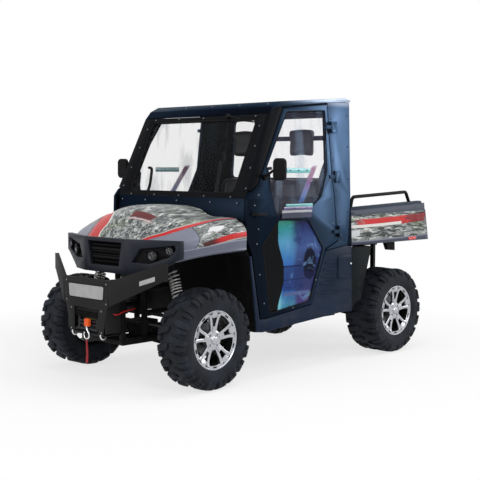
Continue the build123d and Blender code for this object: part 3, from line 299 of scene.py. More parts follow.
def circle(radius, sides=12):
    """A round profile of a given number of sides."""
    a = np.linspace(0, 2 * pi, sides, endpoint=False)
    return np.stack([np.cos(a), np.sin(a)], -1) * radius


def rounded_bar(width, height, corner, steps=4):
    """A rectangular profile whose corners are quarter circles."""
    a = np.linspace(0, pi / 2, steps)
    corners = [(1, 1, 0), (-1, 1, pi / 2), (-1, -1, pi), (1, -1, 3 * pi / 2)]
    parts = []
    for sx, sy, turn in corners:
        x, y = sx * (width / 2 - corner), sy * (height / 2 - corner)
        parts.append(np.stack([x + corner * np.cos(a + turn), y + corner * np.sin(a + turn)], -1))
    return np.concatenate(parts)


def frames(origin, axis):
    """Two directions square to an axis, as the columns of a turned frame with the axis third."""
    axis = unit(np.asarray(axis, float))
    seed = np.array([0.0, 0, 1]) if abs(axis[2]) < 0.9 else np.array([1.0, 0, 0])
    a = unit(np.cross(seed, axis))
    b = np.cross(axis, a)
    m = np.eye(4)
    m[:3, 0], m[:3, 1], m[:3, 2], m[:3, 3] = a, b, axis, origin
    return m


def lathe(profile, origin=(0, 0, 0), axis=(0, 0, 1), sides=48):
    """A (radius, height) profile turned about an axis: the point is the radius at each angle."""
    profile = np.asarray(profile, float)
    a = np.linspace(0, 2 * pi, sides, endpoint=False)
    r, h = profile[:, None, 0], profile[:, None, 1]
    p = np.stack([r * np.cos(a), r * np.sin(a), h + 0 * a], -1)
    m = frames(origin, axis)
    return p @ m[:3, :3].T + m[:3, 3]


def pillow(center, size, power=0.3, steps=(14, 28)):
    """A block with rounded faces (a superellipsoid): each axis is a sine or cosine to a small power."""
    v = np.linspace(-pi / 2, pi / 2, steps[0])[:, None]
    u = np.linspace(-pi, pi, steps[1], endpoint=False)[None]
    bend = lambda w: np.sign(w) * np.abs(w) ** power
    level, rise = bend(np.cos(v)), bend(np.sin(v))
    p = np.stack([level * bend(np.cos(u)), level * bend(np.sin(u)), rise + 0 * u], -1)
    return p * (np.asarray(size, float) / 2) + np.asarray(center, float)


def arc(center, radius, start, stop, steps):
    """Points on an arc in an upright plane along the vehicle, its angles in degrees."""
    a = np.radians(np.linspace(start, stop, steps))
    return np.stack([radius * np.cos(a), 0 * a, radius * np.sin(a)], -1) + np.asarray(center, float)


def loop_path(corners, radius, steps=6):
    """A closed outline with each corner rounded by a quadratic curve through its two flanks."""
    c = np.asarray(corners, float)
    before, after = np.roll(c, 1, 0), np.roll(c, -1, 0)
    flank = np.minimum(np.linalg.norm(before - c, axis=1), np.linalg.norm(after - c, axis=1))
    cut = np.minimum(radius, flank * 0.45)
    a = c + unit(before - c) * cut[:, None]
    b = c + unit(after - c) * cut[:, None]
    t = np.linspace(0, 1, steps)[None, :, None]
    p = (1 - t) ** 2 * a[:, None] + 2 * t * (1 - t) * c[:, None] + t**2 * b[:, None]
    return p.reshape(-1, c.shape[1])


def ring_sweep(path, profile, toward):
    """A profile carried round a closed path, kept toward a direction."""
    path = np.asarray(path, float)
    along = unit(np.roll(path, -1, 0) - np.roll(path, 1, 0))
    side = unit(np.cross(along, np.asarray(toward, float)))
    up = np.cross(side, along)
    profile = np.asarray(profile, float)
    return path[:, None] + profile[None, :, 0, None] * side[:, None] + profile[None, :, 1, None] * up[:, None]


def side_y(z):
    """The cab side's half width at a height: upright to the waist, leaning in above it."""
    return cab_half - np.maximum(np.asarray(z, float) - waist_z, 0) * 0.06 / 0.665


def lean(z):
    """The outward direction of the cab's left side at a height."""
    return unit(np.array([0, 1, upper_tilt if z > waist_z else 0.0]))


bolt_head = np.array([[0.0, 1.0], [0.45, 0.95], [0.8, 0.66], [1.0, 0.2], [1.0, -0.3]])


def bolts(name, body, material, slot, places, radius=0.006, height=0.0035):
    """Round-headed bolts: a dome profile turned about each place's outward direction."""
    one = Form().turned(bolt_head * (radius, height), sides=10)
    return one.repeat([frames(*row) for row in places]).put(name, material, 50, body, slot)


# ---------------------------------------------------------------- finishes
class Value:
    """A node's output that takes part in arithmetic: each operator adds its Math node."""

    def __init__(self, graph, socket):
        self.graph, self.socket = graph, socket

    def _math(self, operation, *values):
        """One Math node over its values."""
        return self.graph.node("ShaderNodeMath", {"operation": operation}, values)

    def __add__(self, other):
        return self._math("ADD", self, other)

    __radd__ = __add__

    def __sub__(self, other):
        return self._math("SUBTRACT", self, other)

    def __rsub__(self, other):
        return self._math("SUBTRACT", other, self)

    def __mul__(self, other):
        return self._math("MULTIPLY", self, other)

    __rmul__ = __mul__

    def __truediv__(self, other):
        return self._math("DIVIDE", self, other)

    def __abs__(self):
        return self._math("ABSOLUTE", self)

    def most(self, other):
        """The greater of the two."""
        return self._math("MAXIMUM", self, other)

    def sine(self):
        """The sine of an angle in radians."""
        return self._math("SINE", self)

    def step(self, low, high):
        """0 below a low value, 1 above a high one, and smooth between."""
        settings = {"interpolation_type": "SMOOTHSTEP", "clamp": True}
        return self.graph.node("ShaderNodeMapRange", settings, (self, low, high, 0.0, 1.0))


class Graph:
    """A node tree: its nodes are added by node(), its maths by Value."""

    def __init__(self, owner):
        owner.use_nodes = True
        self.tree = owner.node_tree
        self.tree.nodes.clear()

    def node(self, kind, settings=None, values=(), output=0):
        """Adds a node: its settings first, then its sockets by place or by name."""
        made = self.tree.nodes.new(kind)
        for key, value in (settings or {}).items():
            if key == "stops":
                ramp = made.color_ramp
                while len(ramp.elements) > 1:
                    ramp.elements.remove(ramp.elements[-1])
                for index, (place, color) in enumerate(value):
                    stop = ramp.elements[0] if index == 0 else ramp.elements.new(place)
                    stop.position, stop.color = place, (*color, 1)
            else:
                setattr(made, key, value)
        rows = values.items() if isinstance(values, dict) else enumerate(values)
        for key, value in rows:
            self.feed(made.inputs[key], value)
        return None if output is None else Value(self, made.outputs[output])

    def feed(self, socket, value):
        """Links a Value to a socket, or sets the socket to a number or colour."""
        if isinstance(value, Value):
            self.tree.links.new(value.socket, socket)
        elif value is not None:
            if hasattr(socket.default_value, "__len__") and len(socket.default_value) == 4 and len(value) == 3:
                value = (*value, 1)
            socket.default_value = value

    def looked_at(self):
        """1 for a ray from the camera, a mirror or a clear pane, and 0 for one that only carries light."""
        kinds = ("Camera", "Glossy", "Transmission")
        camera, glossy, clear = (self.node("ShaderNodeLightPath", output=f"Is {kind} Ray") for kind in kinds)
        return camera.most(glossy).most(clear)


class Finish(Graph):
    """One procedural material about a principled shader."""

    def __init__(self, name, **surface):
        self.material = bpy.data.materials.new(name)
        super().__init__(self.material)
        self.shader = self.tree.nodes.new("ShaderNodeBsdfPrincipled")
        self.out = self.tree.nodes.new("ShaderNodeOutputMaterial")
        self.tree.links.new(self.shader.outputs[0], self.out.inputs["Surface"])
        for key, value in surface.items():
            self.feed(self.shader.inputs[key.replace("_", " ").title().replace("Ior", "IOR")], value)

    def done(self, color, rough, normal=None, alpha=None):
        """The material, with its last values fed to the shader."""
        for key, value in (("Base Color", color), ("Roughness", rough), ("Normal", normal), ("Alpha", alpha)):
            self.feed(self.shader.inputs[key], value)
        return self.material

    def place(self, scale=(1, 1, 1), turn=(0, 0, 0), uv=False):
        """Object coordinates, or the piece's UV, stretched and turned."""
        spot = self.node("ShaderNodeTexCoord", output="UV" if uv else "Object")
        if scale == (1, 1, 1) and turn == (0, 0, 0):
            return spot
        return self.node("ShaderNodeMapping", values={"Vector": spot, "Rotation": turn, "Scale": scale})

    def axes(self, spot):
        """A vector's three parts."""
        made = self.node("ShaderNodeSeparateXYZ", values=(spot,))
        return [Value(self, output) for output in made.socket.node.outputs]

    def noise(self, spot, scale, detail=3.0, rough=0.5, warp=0.0):
        """A cloudy noise from 0 to 1."""
        values = {"Vector": spot, "Scale": scale, "Detail": detail, "Roughness": rough, "Distortion": warp}
        return self.node("ShaderNodeTexNoise", values=values)

    def cells(self, spot, scale):
        """The distance to the nearest of many scattered points."""
        return self.node("ShaderNodeTexVoronoi", values={"Vector": spot, "Scale": scale})

    def mix(self, share, a, b):
        """Colour a where share is 0, colour b where it is 1."""
        return self.node("ShaderNodeMix", {"data_type": "RGBA"}, {0: share, 6: a, 7: b}, 2)

    def layers(self, tone, *rows):
        """Colours laid over a tone one after another, each where its share is 1."""
        for share, color in rows:
            tone = self.mix(share, tone, color)
        return tone

    def bump(self, height, distance, strength=1.0, under=None):
        """A bump from a height, laid over another one."""
        values = {"Strength": strength, "Distance": distance, "Height": height, "Normal": under}
        return self.node("ShaderNodeBump", values=values)


def srgb(*levels):
    """Display levels from 0 to 255 as linear light."""
    v = np.asarray(levels, float) / 255
    return tuple(np.where(v <= 0.04045, v / 12.92, ((v + 0.055) / 1.055) ** 2.4))


def brighter(color, times, add=0.0):
    """A colour with each part multiplied, raised a little and held at 1."""
    return tuple(min(1.0, c * times + add) for c in color)


def coated_metal(name, color, rough, grain=900.0, depth=0.00012, shine=0.12):
    """Powder-coated sheet: fine orange peel, slow changes of gloss, dust in the low places."""
    f = Finish(name, specular_ior_level=shine)
    spot = f.place()
    slow = f.noise(spot, 3.1, 4.0)
    fine = f.noise(spot, grain, 2.0)
    _, _, z = f.axes(spot)
    dust = (1 - z.step(0.15, 0.75)) * f.noise(spot, 14.0, 5.0).step(0.45, 0.75)
    base = f.mix(slow.step(0.35, 0.7), color, brighter(color, 1.18, 0.0008))
    return f.done(
        f.mix(dust * 0.049, base, srgb(112, 104, 92)), rough + 0.1 * slow + 0.05 * fine + dust * 0.0525,
        f.bump(fine, depth, 0.5, f.bump(f.noise(spot, 2.2, 1.0), 0.0016, 0.35)),
    )


def cab_enamel_with_painted_light(name, front, back, edge, inside):
    """The cab's blue enamel: near black in front, with a painted sheen that makes it clearer and paler to the
    back and top, a painted highlight on the roof toward the back, and painted shade that makes it black within.
    """
    f = Finish(name, metallic=0.9, specular_ior_level=0.1, specular_tint=(0.42, 0.48, 0.56))
    spot = f.place()
    x, y, z = f.axes(spot)
    slow = f.noise(spot, 3.1, 4.0)
    fine = f.noise(spot, 900.0, 2.0)
    # aft rises toward the back of the cab: the share of the painted sheen
    aft = (0.42 - x).step(0.0, 0.95)
    # painted shade: the faces inside the cab take the near-black inside colour
    depth = cab_half - (z - waist_z).most(0.0) * upper_tilt - abs(y)
    ahead = x - wall_x + (z - wall_z) * 0.0738
    painted_shade_within = depth.step(0.008, 0.012) * ahead.step(0.008, 0.012)
    painted_shade_within = painted_shade_within * (1 - x.step(0.46, 0.48)) * (1 - z.step(1.86, 1.87))
    base = f.layers(
        front,
        # painted sheen: a paler blue toward the back and top that stands for a reflected highlight
        (aft * (0.45 + 0.55 * z.step(0.7, 1.75)), back),
        # painted highlight along the roof toward the back
        (aft * z.step(1.88, 1.93), edge),
        # painted shade within the cab
        (painted_shade_within, inside),
        (slow.step(0.35, 0.7) * 0.25, brighter(front, 1.18, 0.0008)),
    )
    waves = f.bump(f.noise(spot, 2.2, 1.0), 0.0016, 0.35)
    return f.done(base, 0.3 + 0.1 * slow + 0.05 * fine, f.bump(fine, 0.00012, 0.5, waves))


def moulded(name, color, rough, grain=650.0, shine=0.16):
    """Moulded plastic: a leather-like cell grain with slightly shinier tops and dust low down."""
    f = Finish(name, specular_ior_level=shine)
    spot = f.place()
    cell = f.cells(spot, grain)
    slow = f.noise(spot, 5.0, 4.0)
    _, _, z = f.axes(spot)
    dust = (1 - z.step(0.2, 0.9)) * f.noise(spot, 11.0, 5.0).step(0.42, 0.8)
    base = f.mix(slow.step(0.3, 0.75), color, brighter(color, 1.3, 0.001))
    return f.done(
        f.mix(dust * 0.08, base, srgb(120, 112, 100)), rough + 0.12 * slow - 0.08 * cell,
        f.bump(cell, 0.00025, 0.6),
    )


def bare_metal(name, color, rough, streak=(1, 1, 1), scale=220.0, depth=0.00008):
    """Turned or brushed metal: fine streaks in its gloss and slow tarnish."""
    f = Finish(name, metallic=1.0)
    spot = f.place(streak)
    fine = f.noise(spot, scale, 3.0, 0.6)
    slow = f.noise(f.place(), 16.0, 4.0)
    return f.done(
        f.mix(slow.step(0.35, 0.8) * 0.5, color, brighter(color, 0.72)), rough + 0.14 * fine + 0.12 * slow,
        f.bump(fine, depth, 0.5),
    )


def tyre_rubber():
    """Tyre rubber: dark, with fine moulding rings on the wall and paler dust between the lugs."""
    f = Finish("tyre_rubber", specular_ior_level=0.14)
    spot = f.place()
    fine = f.noise(spot, 260.0, 4.0, 0.7)
    slow = f.noise(spot, 9.0, 5.0)
    rings = (f.axes(f.place(uv=True))[0] * 260.0).sine()
    base = f.mix(slow.step(0.35, 0.7), srgb(22, 24, 29), srgb(36, 40, 48))
    return f.done(
        f.mix(fine.step(0.55, 0.8) * 0.25, base, srgb(64, 65, 68)), 0.56 + 0.2 * slow,
        f.bump(fine + 0.1 * rings, 0.0006, 0.6),
    )


def streaks(f):
    """Woodland streaks: stretched noises at several sizes choose grey, olive, bark and pale flecks."""
    broad = f.noise(f.place((6.0, 20.0, 26.0)), 1.0, 3.0, 0.6, 0.8)
    green = f.noise(f.place((4.0, 7.0, 9.0), (0.3, 0.1, 0.5)), 1.0, 3.0)
    lines = f.noise(f.place((9.0, 46.0, 54.0)), 1.0, 2.0, 0.5, 0.9)
    twig = f.noise(f.place((19.0, 44.0, 50.0), (0.2, -0.3, -0.5)), 1.0, 3.0, 0.6, 1.6)
    return f.layers(
        srgb(96, 101, 102),
        (broad.step(0.4, 0.6), srgb(150, 154, 152)),
        (green.step(0.52, 0.62) * 0.6, srgb(108, 120, 88)),
        (lines.step(0.55, 0.6), srgb(56, 59, 58)),
        (1 - lines.step(0.37, 0.42), srgb(194, 197, 194)),
        (twig.step(0.6, 0.64), srgb(36, 37, 36)),
    )


def gloss_film(f, spot, tone, rough):
    """A glossy film over moulded plastic."""
    bump = f.bump(f.noise(spot, 700.0, 2.0), 0.0001, 0.5)
    return f.done(tone, rough + 0.12 * f.noise(spot, 4.0, 3.0), bump)


red, dark_red, cream = srgb(186, 34, 36), srgb(86, 24, 26), srgb(212, 210, 206)
fender_blue = srgb(108, 112, 128)


def band(value, low, high, soft=0.002):
    """1 where a value lies between two limits."""
    return value.step(low, low + soft) * (1 - value.step(high - soft, high))


def hood_film():
    """Hood: streaks, a thin red line down one edge, a red wedge down the other, a blank dark patch."""
    f = Finish("hood_film", specular_ior_level=0.3)
    spot = f.place()
    u, v, _ = f.axes(f.place(uv=True))
    near, far = (1 - v) * 2 - 0.07 * u.step(0.72, 0.92), v * 2
    slant = u - 0.1 * near
    edge = far - (0.14 + 0.5 * u.step(0.15, 0.8) - 0.1 * u.step(0.8, 0.9))
    tone = f.layers(
        streaks(f),
        (band(slant, 0.676, 0.69, 0.004) * band(near, 0.34, 0.84, 0.02), srgb(206, 170, 168)),
        (band(slant, 0.588, 0.672, 0.006) * band(near, 0.4, 0.84, 0.02), dark_red),
        (band(edge, -2.0, 0.045, 0.01), cream),
        (band(edge, -2.0, 0.005, 0.01), red),
        (band(near, 0.075, 0.098, 0.006), srgb(170, 166, 162)),
        (band(near, 0.006, 0.078, 0.006) * (1 - u.step(0.93, 0.96)), red),
        (1 - near.step(0.002, 0.006), fender_blue),
        (u.step(0.972, 0.978), srgb(128, 131, 140)),
    )
    return gloss_film(f, spot, tone, 0.34)


def fender_film():
    """Front fender: grey-blue nose and lip with a painted highlight along the lip's top, a streaked patch with
    one red bar and a blank plate.
    """
    f = Finish("fender_film", specular_ior_level=0.3)
    spot = f.place()
    u, across, _ = f.axes(f.place(uv=True))
    v = across * 1.12
    slant = u - 0.33 * v
    run = v - 0.07 * u
    bar = band(run, 0.64, 0.757, 0.006) * (1 - (u + 0.3 * run).step(0.9, 0.905))
    short, long = (v - 0.345) + 0.44 * (u - 0.43), (u - 0.43) - 0.56 * (v - 0.345)
    tone = f.layers(
        streaks(f),
        (slant.step(0.5, 0.506), fender_blue),
        (band(slant, 0.496, 0.512, 0.003), srgb(72, 75, 84)),
        (band(run, 0.757, 0.775, 0.006) * (1 - u.step(0.7, 0.71)), srgb(178, 170, 160)),
        (bar, f.mix(u.step(0.44, 0.6), red, srgb(66, 26, 26))),
        (band(short, -0.105, 0.105, 0.012) * band(long, -0.085, 0.085, 0.006), srgb(204, 204, 206)),
        (v.step(0.8, 0.806), srgb(96, 100, 116)),
        # painted highlight: a pale line along the top of the lip
        (band(v, 0.8, 0.83, 0.008), srgb(138, 141, 156)),
    )
    return gloss_film(f, spot, tone, 0.3)


def bed_film():
    """Bed side: streaks under a dark cap, a red band over a pale one, and a grey lower edge."""
    f = Finish("bed_film", specular_ior_level=0.2)
    spot = f.place()
    x, _, z = f.axes(spot)
    back = (-0.5 - x).most(0.0) / 0.9
    rise = z - (0.995 + 0.03 * back * back)
    ragged = f.noise(f.place((14.0, 30.0, 60.0)), 1.0, 3.0)
    fade = ((-0.42 - x) * 2.6 + ragged - 0.5).step(0.1, 0.45)
    shade = f.mix((x + 0.3 * ragged).step(-1.02, -0.98), srgb(120, 18, 26), red)
    sill = z - 0.899 - 0.018 * (-0.7 - x).most(0.0)
    tone = f.layers(
        streaks(f),
        (band(rise, 0.022, 0.06 + 0.012 * ragged, 0.003) * fade, shade),
        (band(rise, 0.0, 0.024) * band(x, -1.4, -0.425), f.mix(x.step(-1.085, -1.08), shade, cream)),
        (band(x, -0.548, -0.446) * band(z, 0.936, 0.98), srgb(196, 197, 202)),
        (1 - sill.step(-0.001, 0.001), srgb(60, 65, 82)),
        (band(sill, -0.01, 0.001), srgb(112, 115, 126)),
        ((z + 0.02 * x).step(1.078, 1.081), srgb(46, 55, 70)),
    )
    return gloss_film(f, spot, tone, 0.42)


def pane(name, tint, alpha, edge):
    """Clear sheet: nearly open face on, and more reflecting at a slant."""
    f = Finish(name, ior=1.49)
    spot = f.place()
    facing = f.node("ShaderNodeLayerWeight", values={"Blend": 0.35}, output="Facing")
    haze = f.noise(spot, 2.6, 4.0)
    return f.done(
        f.mix(haze.step(0.4, 0.7), tint, brighter(tint, 1.5)), 0.02 + 0.05 * haze,
        alpha=alpha + 0.05 * haze + edge * facing * facing,
    )


def film_pane():
    """Door pane: nearly clear above, and below it a film that drifts from teal to blue to indigo, with painted
    shade for the dark seat behind it and along its front, a painted highlight at its front edge low down, and
    painted glints low at the back.
    """
    f = Finish("film_pane", ior=1.49, specular_ior_level=0.08)
    spot = f.place()
    x, _, z = f.axes(spot)
    drift = f.noise(f.place((2.0, 2.0, 1.2)), 1.0, 2.0)
    fold = f.noise(f.place((11.0, 11.0, 2.2), (0, 0.2, 0)), 1.0, 3.0)
    crumple = f.noise(f.place((7.0, 7.0, 9.0)), 1.0, 4.0, 0.6, 1.2)
    pane_front, pane_top, pane_length, pane_height = 0.347, 1.086, 0.511, 0.633
    across, down = (pane_front - x) / pane_length, (pane_top - z) / pane_height
    fore = [
        (0.0, srgb(66, 132, 92)), (0.12, srgb(50, 140, 138)), (0.3, srgb(86, 152, 190)),
        (0.52, srgb(58, 108, 178)), (0.8, srgb(34, 74, 158)), (1.0, srgb(70, 150, 176)),
    ]
    aft = [
        (0.0, srgb(26, 28, 66)), (0.18, srgb(52, 70, 124)), (0.34, srgb(66, 88, 140)),
        (0.58, srgb(42, 52, 98)), (0.84, srgb(52, 58, 104)), (1.0, srgb(78, 66, 124)),
    ]
    near = f.node("ShaderNodeValToRGB", {"stops": fore}, (down + 0.3 * (drift - 0.5),))
    rest = f.node("ShaderNodeValToRGB", {"stops": aft}, (down + 0.35 * (drift - 0.5),))
    wide, tall = (across - 0.66) / 0.15, (down - 0.5) / 0.2
    # painted shade: a dark patch for the shaded seat seen through the film
    dark = 1 - (wide * wide + tall * tall + 1.3 * (crumple - 0.5)).step(0.55, 1.05)
    rim_light = (1 - across.step(0.02, 0.1)) * down.step(0.45, 0.75)
    glint = (across + down).step(1.45, 1.6) * crumple.step(0.5, 0.62)
    front = pane_front - 0.062 * band(down, 0.2, 1.0, 0.35)
    film = f.layers(
        near,
        ((across + 0.55 * (fold - 0.5)).step(0.14, 0.46), rest),
        (band(down, 0.5, 0.8, 0.02) * band(across, 0.1, 0.52, 0.02) * 0.75, srgb(38, 56, 106)),
        (band(down, 0.515, 0.53, 0.004) * band(across, 0.06, 0.62, 0.02), srgb(24, 34, 72)),
        (band(down, 0.665, 0.678, 0.004) * band(across, 0.06, 0.62, 0.02), srgb(28, 38, 78)),
        (band(down, 0.8, 0.86, 0.02) * band(across, 0.1, 0.66, 0.03), srgb(84, 100, 146)),
        (dark, srgb(12, 17, 40)),
        (crumple.step(0.56, 0.66) * 0.5, srgb(112, 150, 196)),
        ((1 - crumple.step(0.36, 0.44)) * 0.45, srgb(28, 34, 82)),
        (rim_light * 0.8, srgb(128, 204, 214)),
        (glint * 0.7, srgb(126, 160, 110)),
        # painted shade: the front part of the film near black
        (x.step(front, front + 0.006), srgb(5, 7, 10)),
    )
    low = 1 - z.step(1.09, 1.1)
    line = abs(x + 0.68 * (z - 1.452) + 0.057)
    beam = (1 - line.step(0.02, 0.032)) * band(z, 1.18, 1.47, 0.03)
    upper = f.layers(
        srgb(150, 140, 176),
        (fold.step(0.35, 0.65), srgb(120, 142, 170)),
        (beam, f.mix(z.step(1.22, 1.42), srgb(84, 112, 170), srgb(136, 70, 118))),
    )
    facing = f.node("ShaderNodeLayerWeight", values={"Blend": 0.35}, output="Facing")
    clear = 0.03 + 0.16 * fold.step(0.48, 0.66) + 0.6 * beam + 0.05 * facing
    return f.done(f.mix(low, upper, film), 0.08 + 0.04 * fold, alpha=clear + low * (0.88 - clear))


def vinyl(name, color):
    """Seat vinyl: a fine leather grain over soft wrinkles."""
    f = Finish(name)
    spot = f.place()
    cell = f.cells(spot, 420.0)
    slow = f.noise(spot, 9.0, 4.0)
    return f.done(
        f.mix(slow.step(0.3, 0.7), color, brighter(color, 1.5)), 0.44 + 0.16 * slow,
        f.bump(cell, 0.0004, 0.5, f.bump(slow, 0.002, 0.3)),
    )


def webbing(name, color):
    """Woven strap: two crossed waves for its threads."""
    f = Finish(name)
    u, v, _ = f.axes(f.place(uv=True))
    weave = (u * 420.0).sine() * (v * 120.0).sine()
    return f.done(
        f.mix(weave.step(-0.3, 0.6), brighter(color, 0.55), color), 0.72 + 0.08 * weave,
        f.bump(weave, 0.0005, 0.7),
    )


def lens(name, color, alpha):
    """A moulded lens with fine ribs."""
    f = Finish(name, ior=1.49)
    ribs = (f.axes(f.place())[2] * 1400.0).sine()
    return f.done(
        f.mix(ribs.step(-0.5, 0.8), color, brighter(color, 1.6)), 0.05 + 0.02 * ribs, f.bump(ribs, 0.0004, 0.4),
        alpha=alpha + 0.05 * ribs,
    )


def hose(name, color):
    """A braided cover in one colour."""
    f = Finish(name)
    spot = f.place()
    fine = f.noise(spot, 500.0, 3.0)
    return f.done(f.mix(fine, brighter(color, 0.6), color), 0.5 + 0.2 * fine, f.bump(fine, 0.0003, 0.6))


# cab colours: the enamel's own near-black blue, a painted sheen, a painted highlight, and painted shade within
m_cab = cab_enamel_with_painted_light("cab_paint", srgb(16, 23, 33), srgb(70, 90, 116), srgb(142, 152, 168), srgb(8, 9, 11))
m_screen_frame = coated_metal("screen_frame_paint", srgb(10, 11, 15), 0.42, shine=0.03)
m_frame = coated_metal("frame_paint", srgb(13, 14, 16), 0.42, shine=0.07)
m_bumper = coated_metal("bumper_paint", srgb(31, 30, 31), 0.5, 520.0, 0.00035, 0.1)
m_plastic = moulded("body_plastic", srgb(26, 29, 38), 0.42, shine=0.14)
m_side = moulded("side_plastic", srgb(20, 32, 50), 0.4, shine=0.07)
m_guard = moulded("guard_plastic", srgb(15, 19, 22), 0.46, shine=0.04)
m_cap = moulded("bed_cap_plastic", srgb(34, 43, 57), 0.42, shine=0.07)
m_black = moulded("black_plastic", srgb(11, 11, 13), 0.55, shine=0.08)
m_liner = moulded("liner_plastic", srgb(9, 9, 11), 0.62, shine=0.06)
m_seal = moulded("rubber_seal", srgb(9, 9, 10), 0.7, 300.0, shine=0.1)
m_rubber = tyre_rubber()
m_rim = bare_metal("machined_alloy", (0.46, 0.47, 0.5), 0.17, scale=340.0)
m_pocket = coated_metal("pocket_paint", srgb(12, 12, 13), 0.35)
m_chrome = bare_metal("bright_chrome", (0.72, 0.73, 0.75), 0.08, scale=60.0)
m_bowl = bare_metal("lamp_chrome", (0.06, 0.062, 0.068), 0.12, scale=60.0)
m_steel = bare_metal("plain_steel", (0.16, 0.165, 0.175), 0.36)
m_dark_steel = bare_metal("dark_steel", (0.035, 0.036, 0.04), 0.42)
m_spring = bare_metal("spring_lacquer", (0.42, 0.42, 0.41), 0.34)
m_cast = bare_metal("cast_alloy", (0.035, 0.036, 0.038), 0.5, scale=120.0, depth=0.0004)
m_brushed = bare_metal("brushed_plate", (0.36, 0.36, 0.36), 0.34, (1, 0.02, 1), 300.0)
m_hood = hood_film()
m_fender = fender_film()
m_bed = bed_film()
m_screen = pane("screen_glass", (0.03, 0.036, 0.04), 0.03, 0.1)
m_film = film_pane()
m_vinyl = vinyl("seat_vinyl", srgb(20, 20, 23))
m_red_strap = webbing("red_webbing", srgb(168, 22, 34))
m_lamp_lens = lens("lamp_lens", (0.12, 0.125, 0.135), 0.22)
m_tail_lens = lens("tail_lens", (0.5, 0.012, 0.016), 0.92)
m_orange = moulded("orange_coat", srgb(214, 84, 32), 0.4)
m_rope = hose("winch_rope", srgb(104, 100, 58))
m_belt = webbing("belt_webbing", srgb(20, 20, 22))
m_gauge = moulded("gauge_face", srgb(30, 36, 42), 0.2)
m_red_plastic = moulded("red_plastic", srgb(150, 26, 28), 0.4)
m_pane_rail = pane("pane_rail", srgb(96, 168, 172), 0.72, 0.2)
m_violet_rail = pane("violet_rail", srgb(96, 84, 128), 0.8, 0.2)
m_slate_rail = pane("slate_rail", srgb(44, 50, 72), 0.86, 0.2)


# ---------------------------------------------------------------- solids that keep their shape
finish_rows = [
    # solids, finish, edge rounding, crease angle
    ("frame_rails front_tower bed_frame cab_outriggers", m_frame, 0.004, 40),
    ("suspension_brackets", m_frame, 0.001, 40),
    ("hitch_receiver", m_frame, 0.002, 40),
    ("floor_pan", m_black, 0.003, 35),
    ("roll_cage", m_frame, 0.0, 40),
    ("roof_panel", m_cab, 0.003, 30),
    ("windscreen_frame", m_screen_frame, 0.002, 30),
    ("rear_wall", m_cab, 0.002, 30),
    ("cab_quarters", m_cab, 0.0015, 30),
    ("cowl_panel", m_cab, 0.002, 30),
    ("side_panels", m_side, 0.006, 30),
    ("rear_mudguards", m_guard, 0.006, 30),
    ("front_fascia", m_plastic, 0.004, 30),
    ("grille", m_black, 0.001, 30),
    ("headlamps", m_black, 0.0, 30),
    ("front_bumper", m_bumper, 0.0012, 30),
    ("winch", m_dark_steel, 0.001, 40),
    ("dash_panel", m_black, 0.012, 40),
    ("seat_base", m_black, 0.01, 40),
    ("engine_block", m_cast, 0.006, 40),
    ("drive_line", m_cast, 0.004, 40),
    ("front_suspension rear_suspension", m_frame, 0.0, 40),
    ("steering_rack", m_cast, 0.001, 40),
    ("tie_rods", m_steel, 0.0008, 40),
    ("knuckle_left knuckle_right", m_cast, 0.003, 40),
    ("door_left door_right", m_cab, 0.002, 30),
    ("mirror_left mirror_right", m_black, 0.003, 40),
    ("bed_rails", m_frame, 0.0, 60),
    ("bed_box", m_cap, 0.004, 30),
    ("tailgate", m_bed, 0.004, 30),
]
for solids, finish, bevel, crease in finish_rows:
    for node in solids.split():
        dressed(node, finish, bevel, crease)

# the arch liners' outer edges follow the fenders in towards the nose
liners = dressed("arch_liners", m_liner, 0.006, 30)
for vertex in liners.data.vertices:
    limit = 0.69 - 0.25 * max(vertex.co.x - 0.702, 0.0)
    vertex.co.y = max(-limit, min(limit, vertex.co.y))

for node, finish in (("cab_glass", m_screen), ("door_glass_left", m_film), ("door_glass_right", m_film)):
    dressed(node, finish, 0.0, 30)


# ---------------------------------------------------------------- tyres
def about_axle(turn):
    """The move that turns a form about a wheel's axle."""
    return np.array(Matrix.Rotation(turn, 4, "Y"))


def wheel_place(axle, hand, y):
    """The move from a wheel part's own frame to its place, mirrored on the right side."""
    move = np.diag([1.0, hand, 1, 1])
    move[:3, 3] = axle_x[axle], hand * y, tyre_radius
    return move


def carcass_profile(width):
    """A tyre's closed (radius, across) section: bead, rounded wall, flat crown, and the same back."""
    half = width / 2
    outer = [
        (0.18, half * 0.74), (0.19, half * 0.86), (0.206, half * 0.93), (0.214, half * 0.945),
        (0.232, half * 0.985), (0.254, half), (0.276, half * 0.985), (0.293, half * 0.93),
        (0.304, half * 0.83), (0.309, half * 0.66), (0.312, half * 0.35), (0.313, 0.0),
    ]
    outer = resample(outer, 34)
    inner = outer[::-1] * (1, -1)
    return np.concatenate([outer, inner[1:], [(0.196, -half * 0.66), (0.196, half * 0.66)]])


def lug_path(width, start, stop, slant, steps):
    """A lug's path over the crown and down the shoulder: (angle, radius, across) for each share."""
    t = np.linspace(start, stop, steps)
    half = width / 2
    across = half * np.minimum(t, 1.0) * 0.93 + half * 0.05 * np.maximum(t - 1, 0)
    drop = np.maximum(t - 0.8, 0)
    radius = 0.3135 - 0.01 * np.maximum(t - 0.45, 0) ** 2 - 0.3 * drop**1.8
    return slant * np.minimum(t, 1.05), radius, across


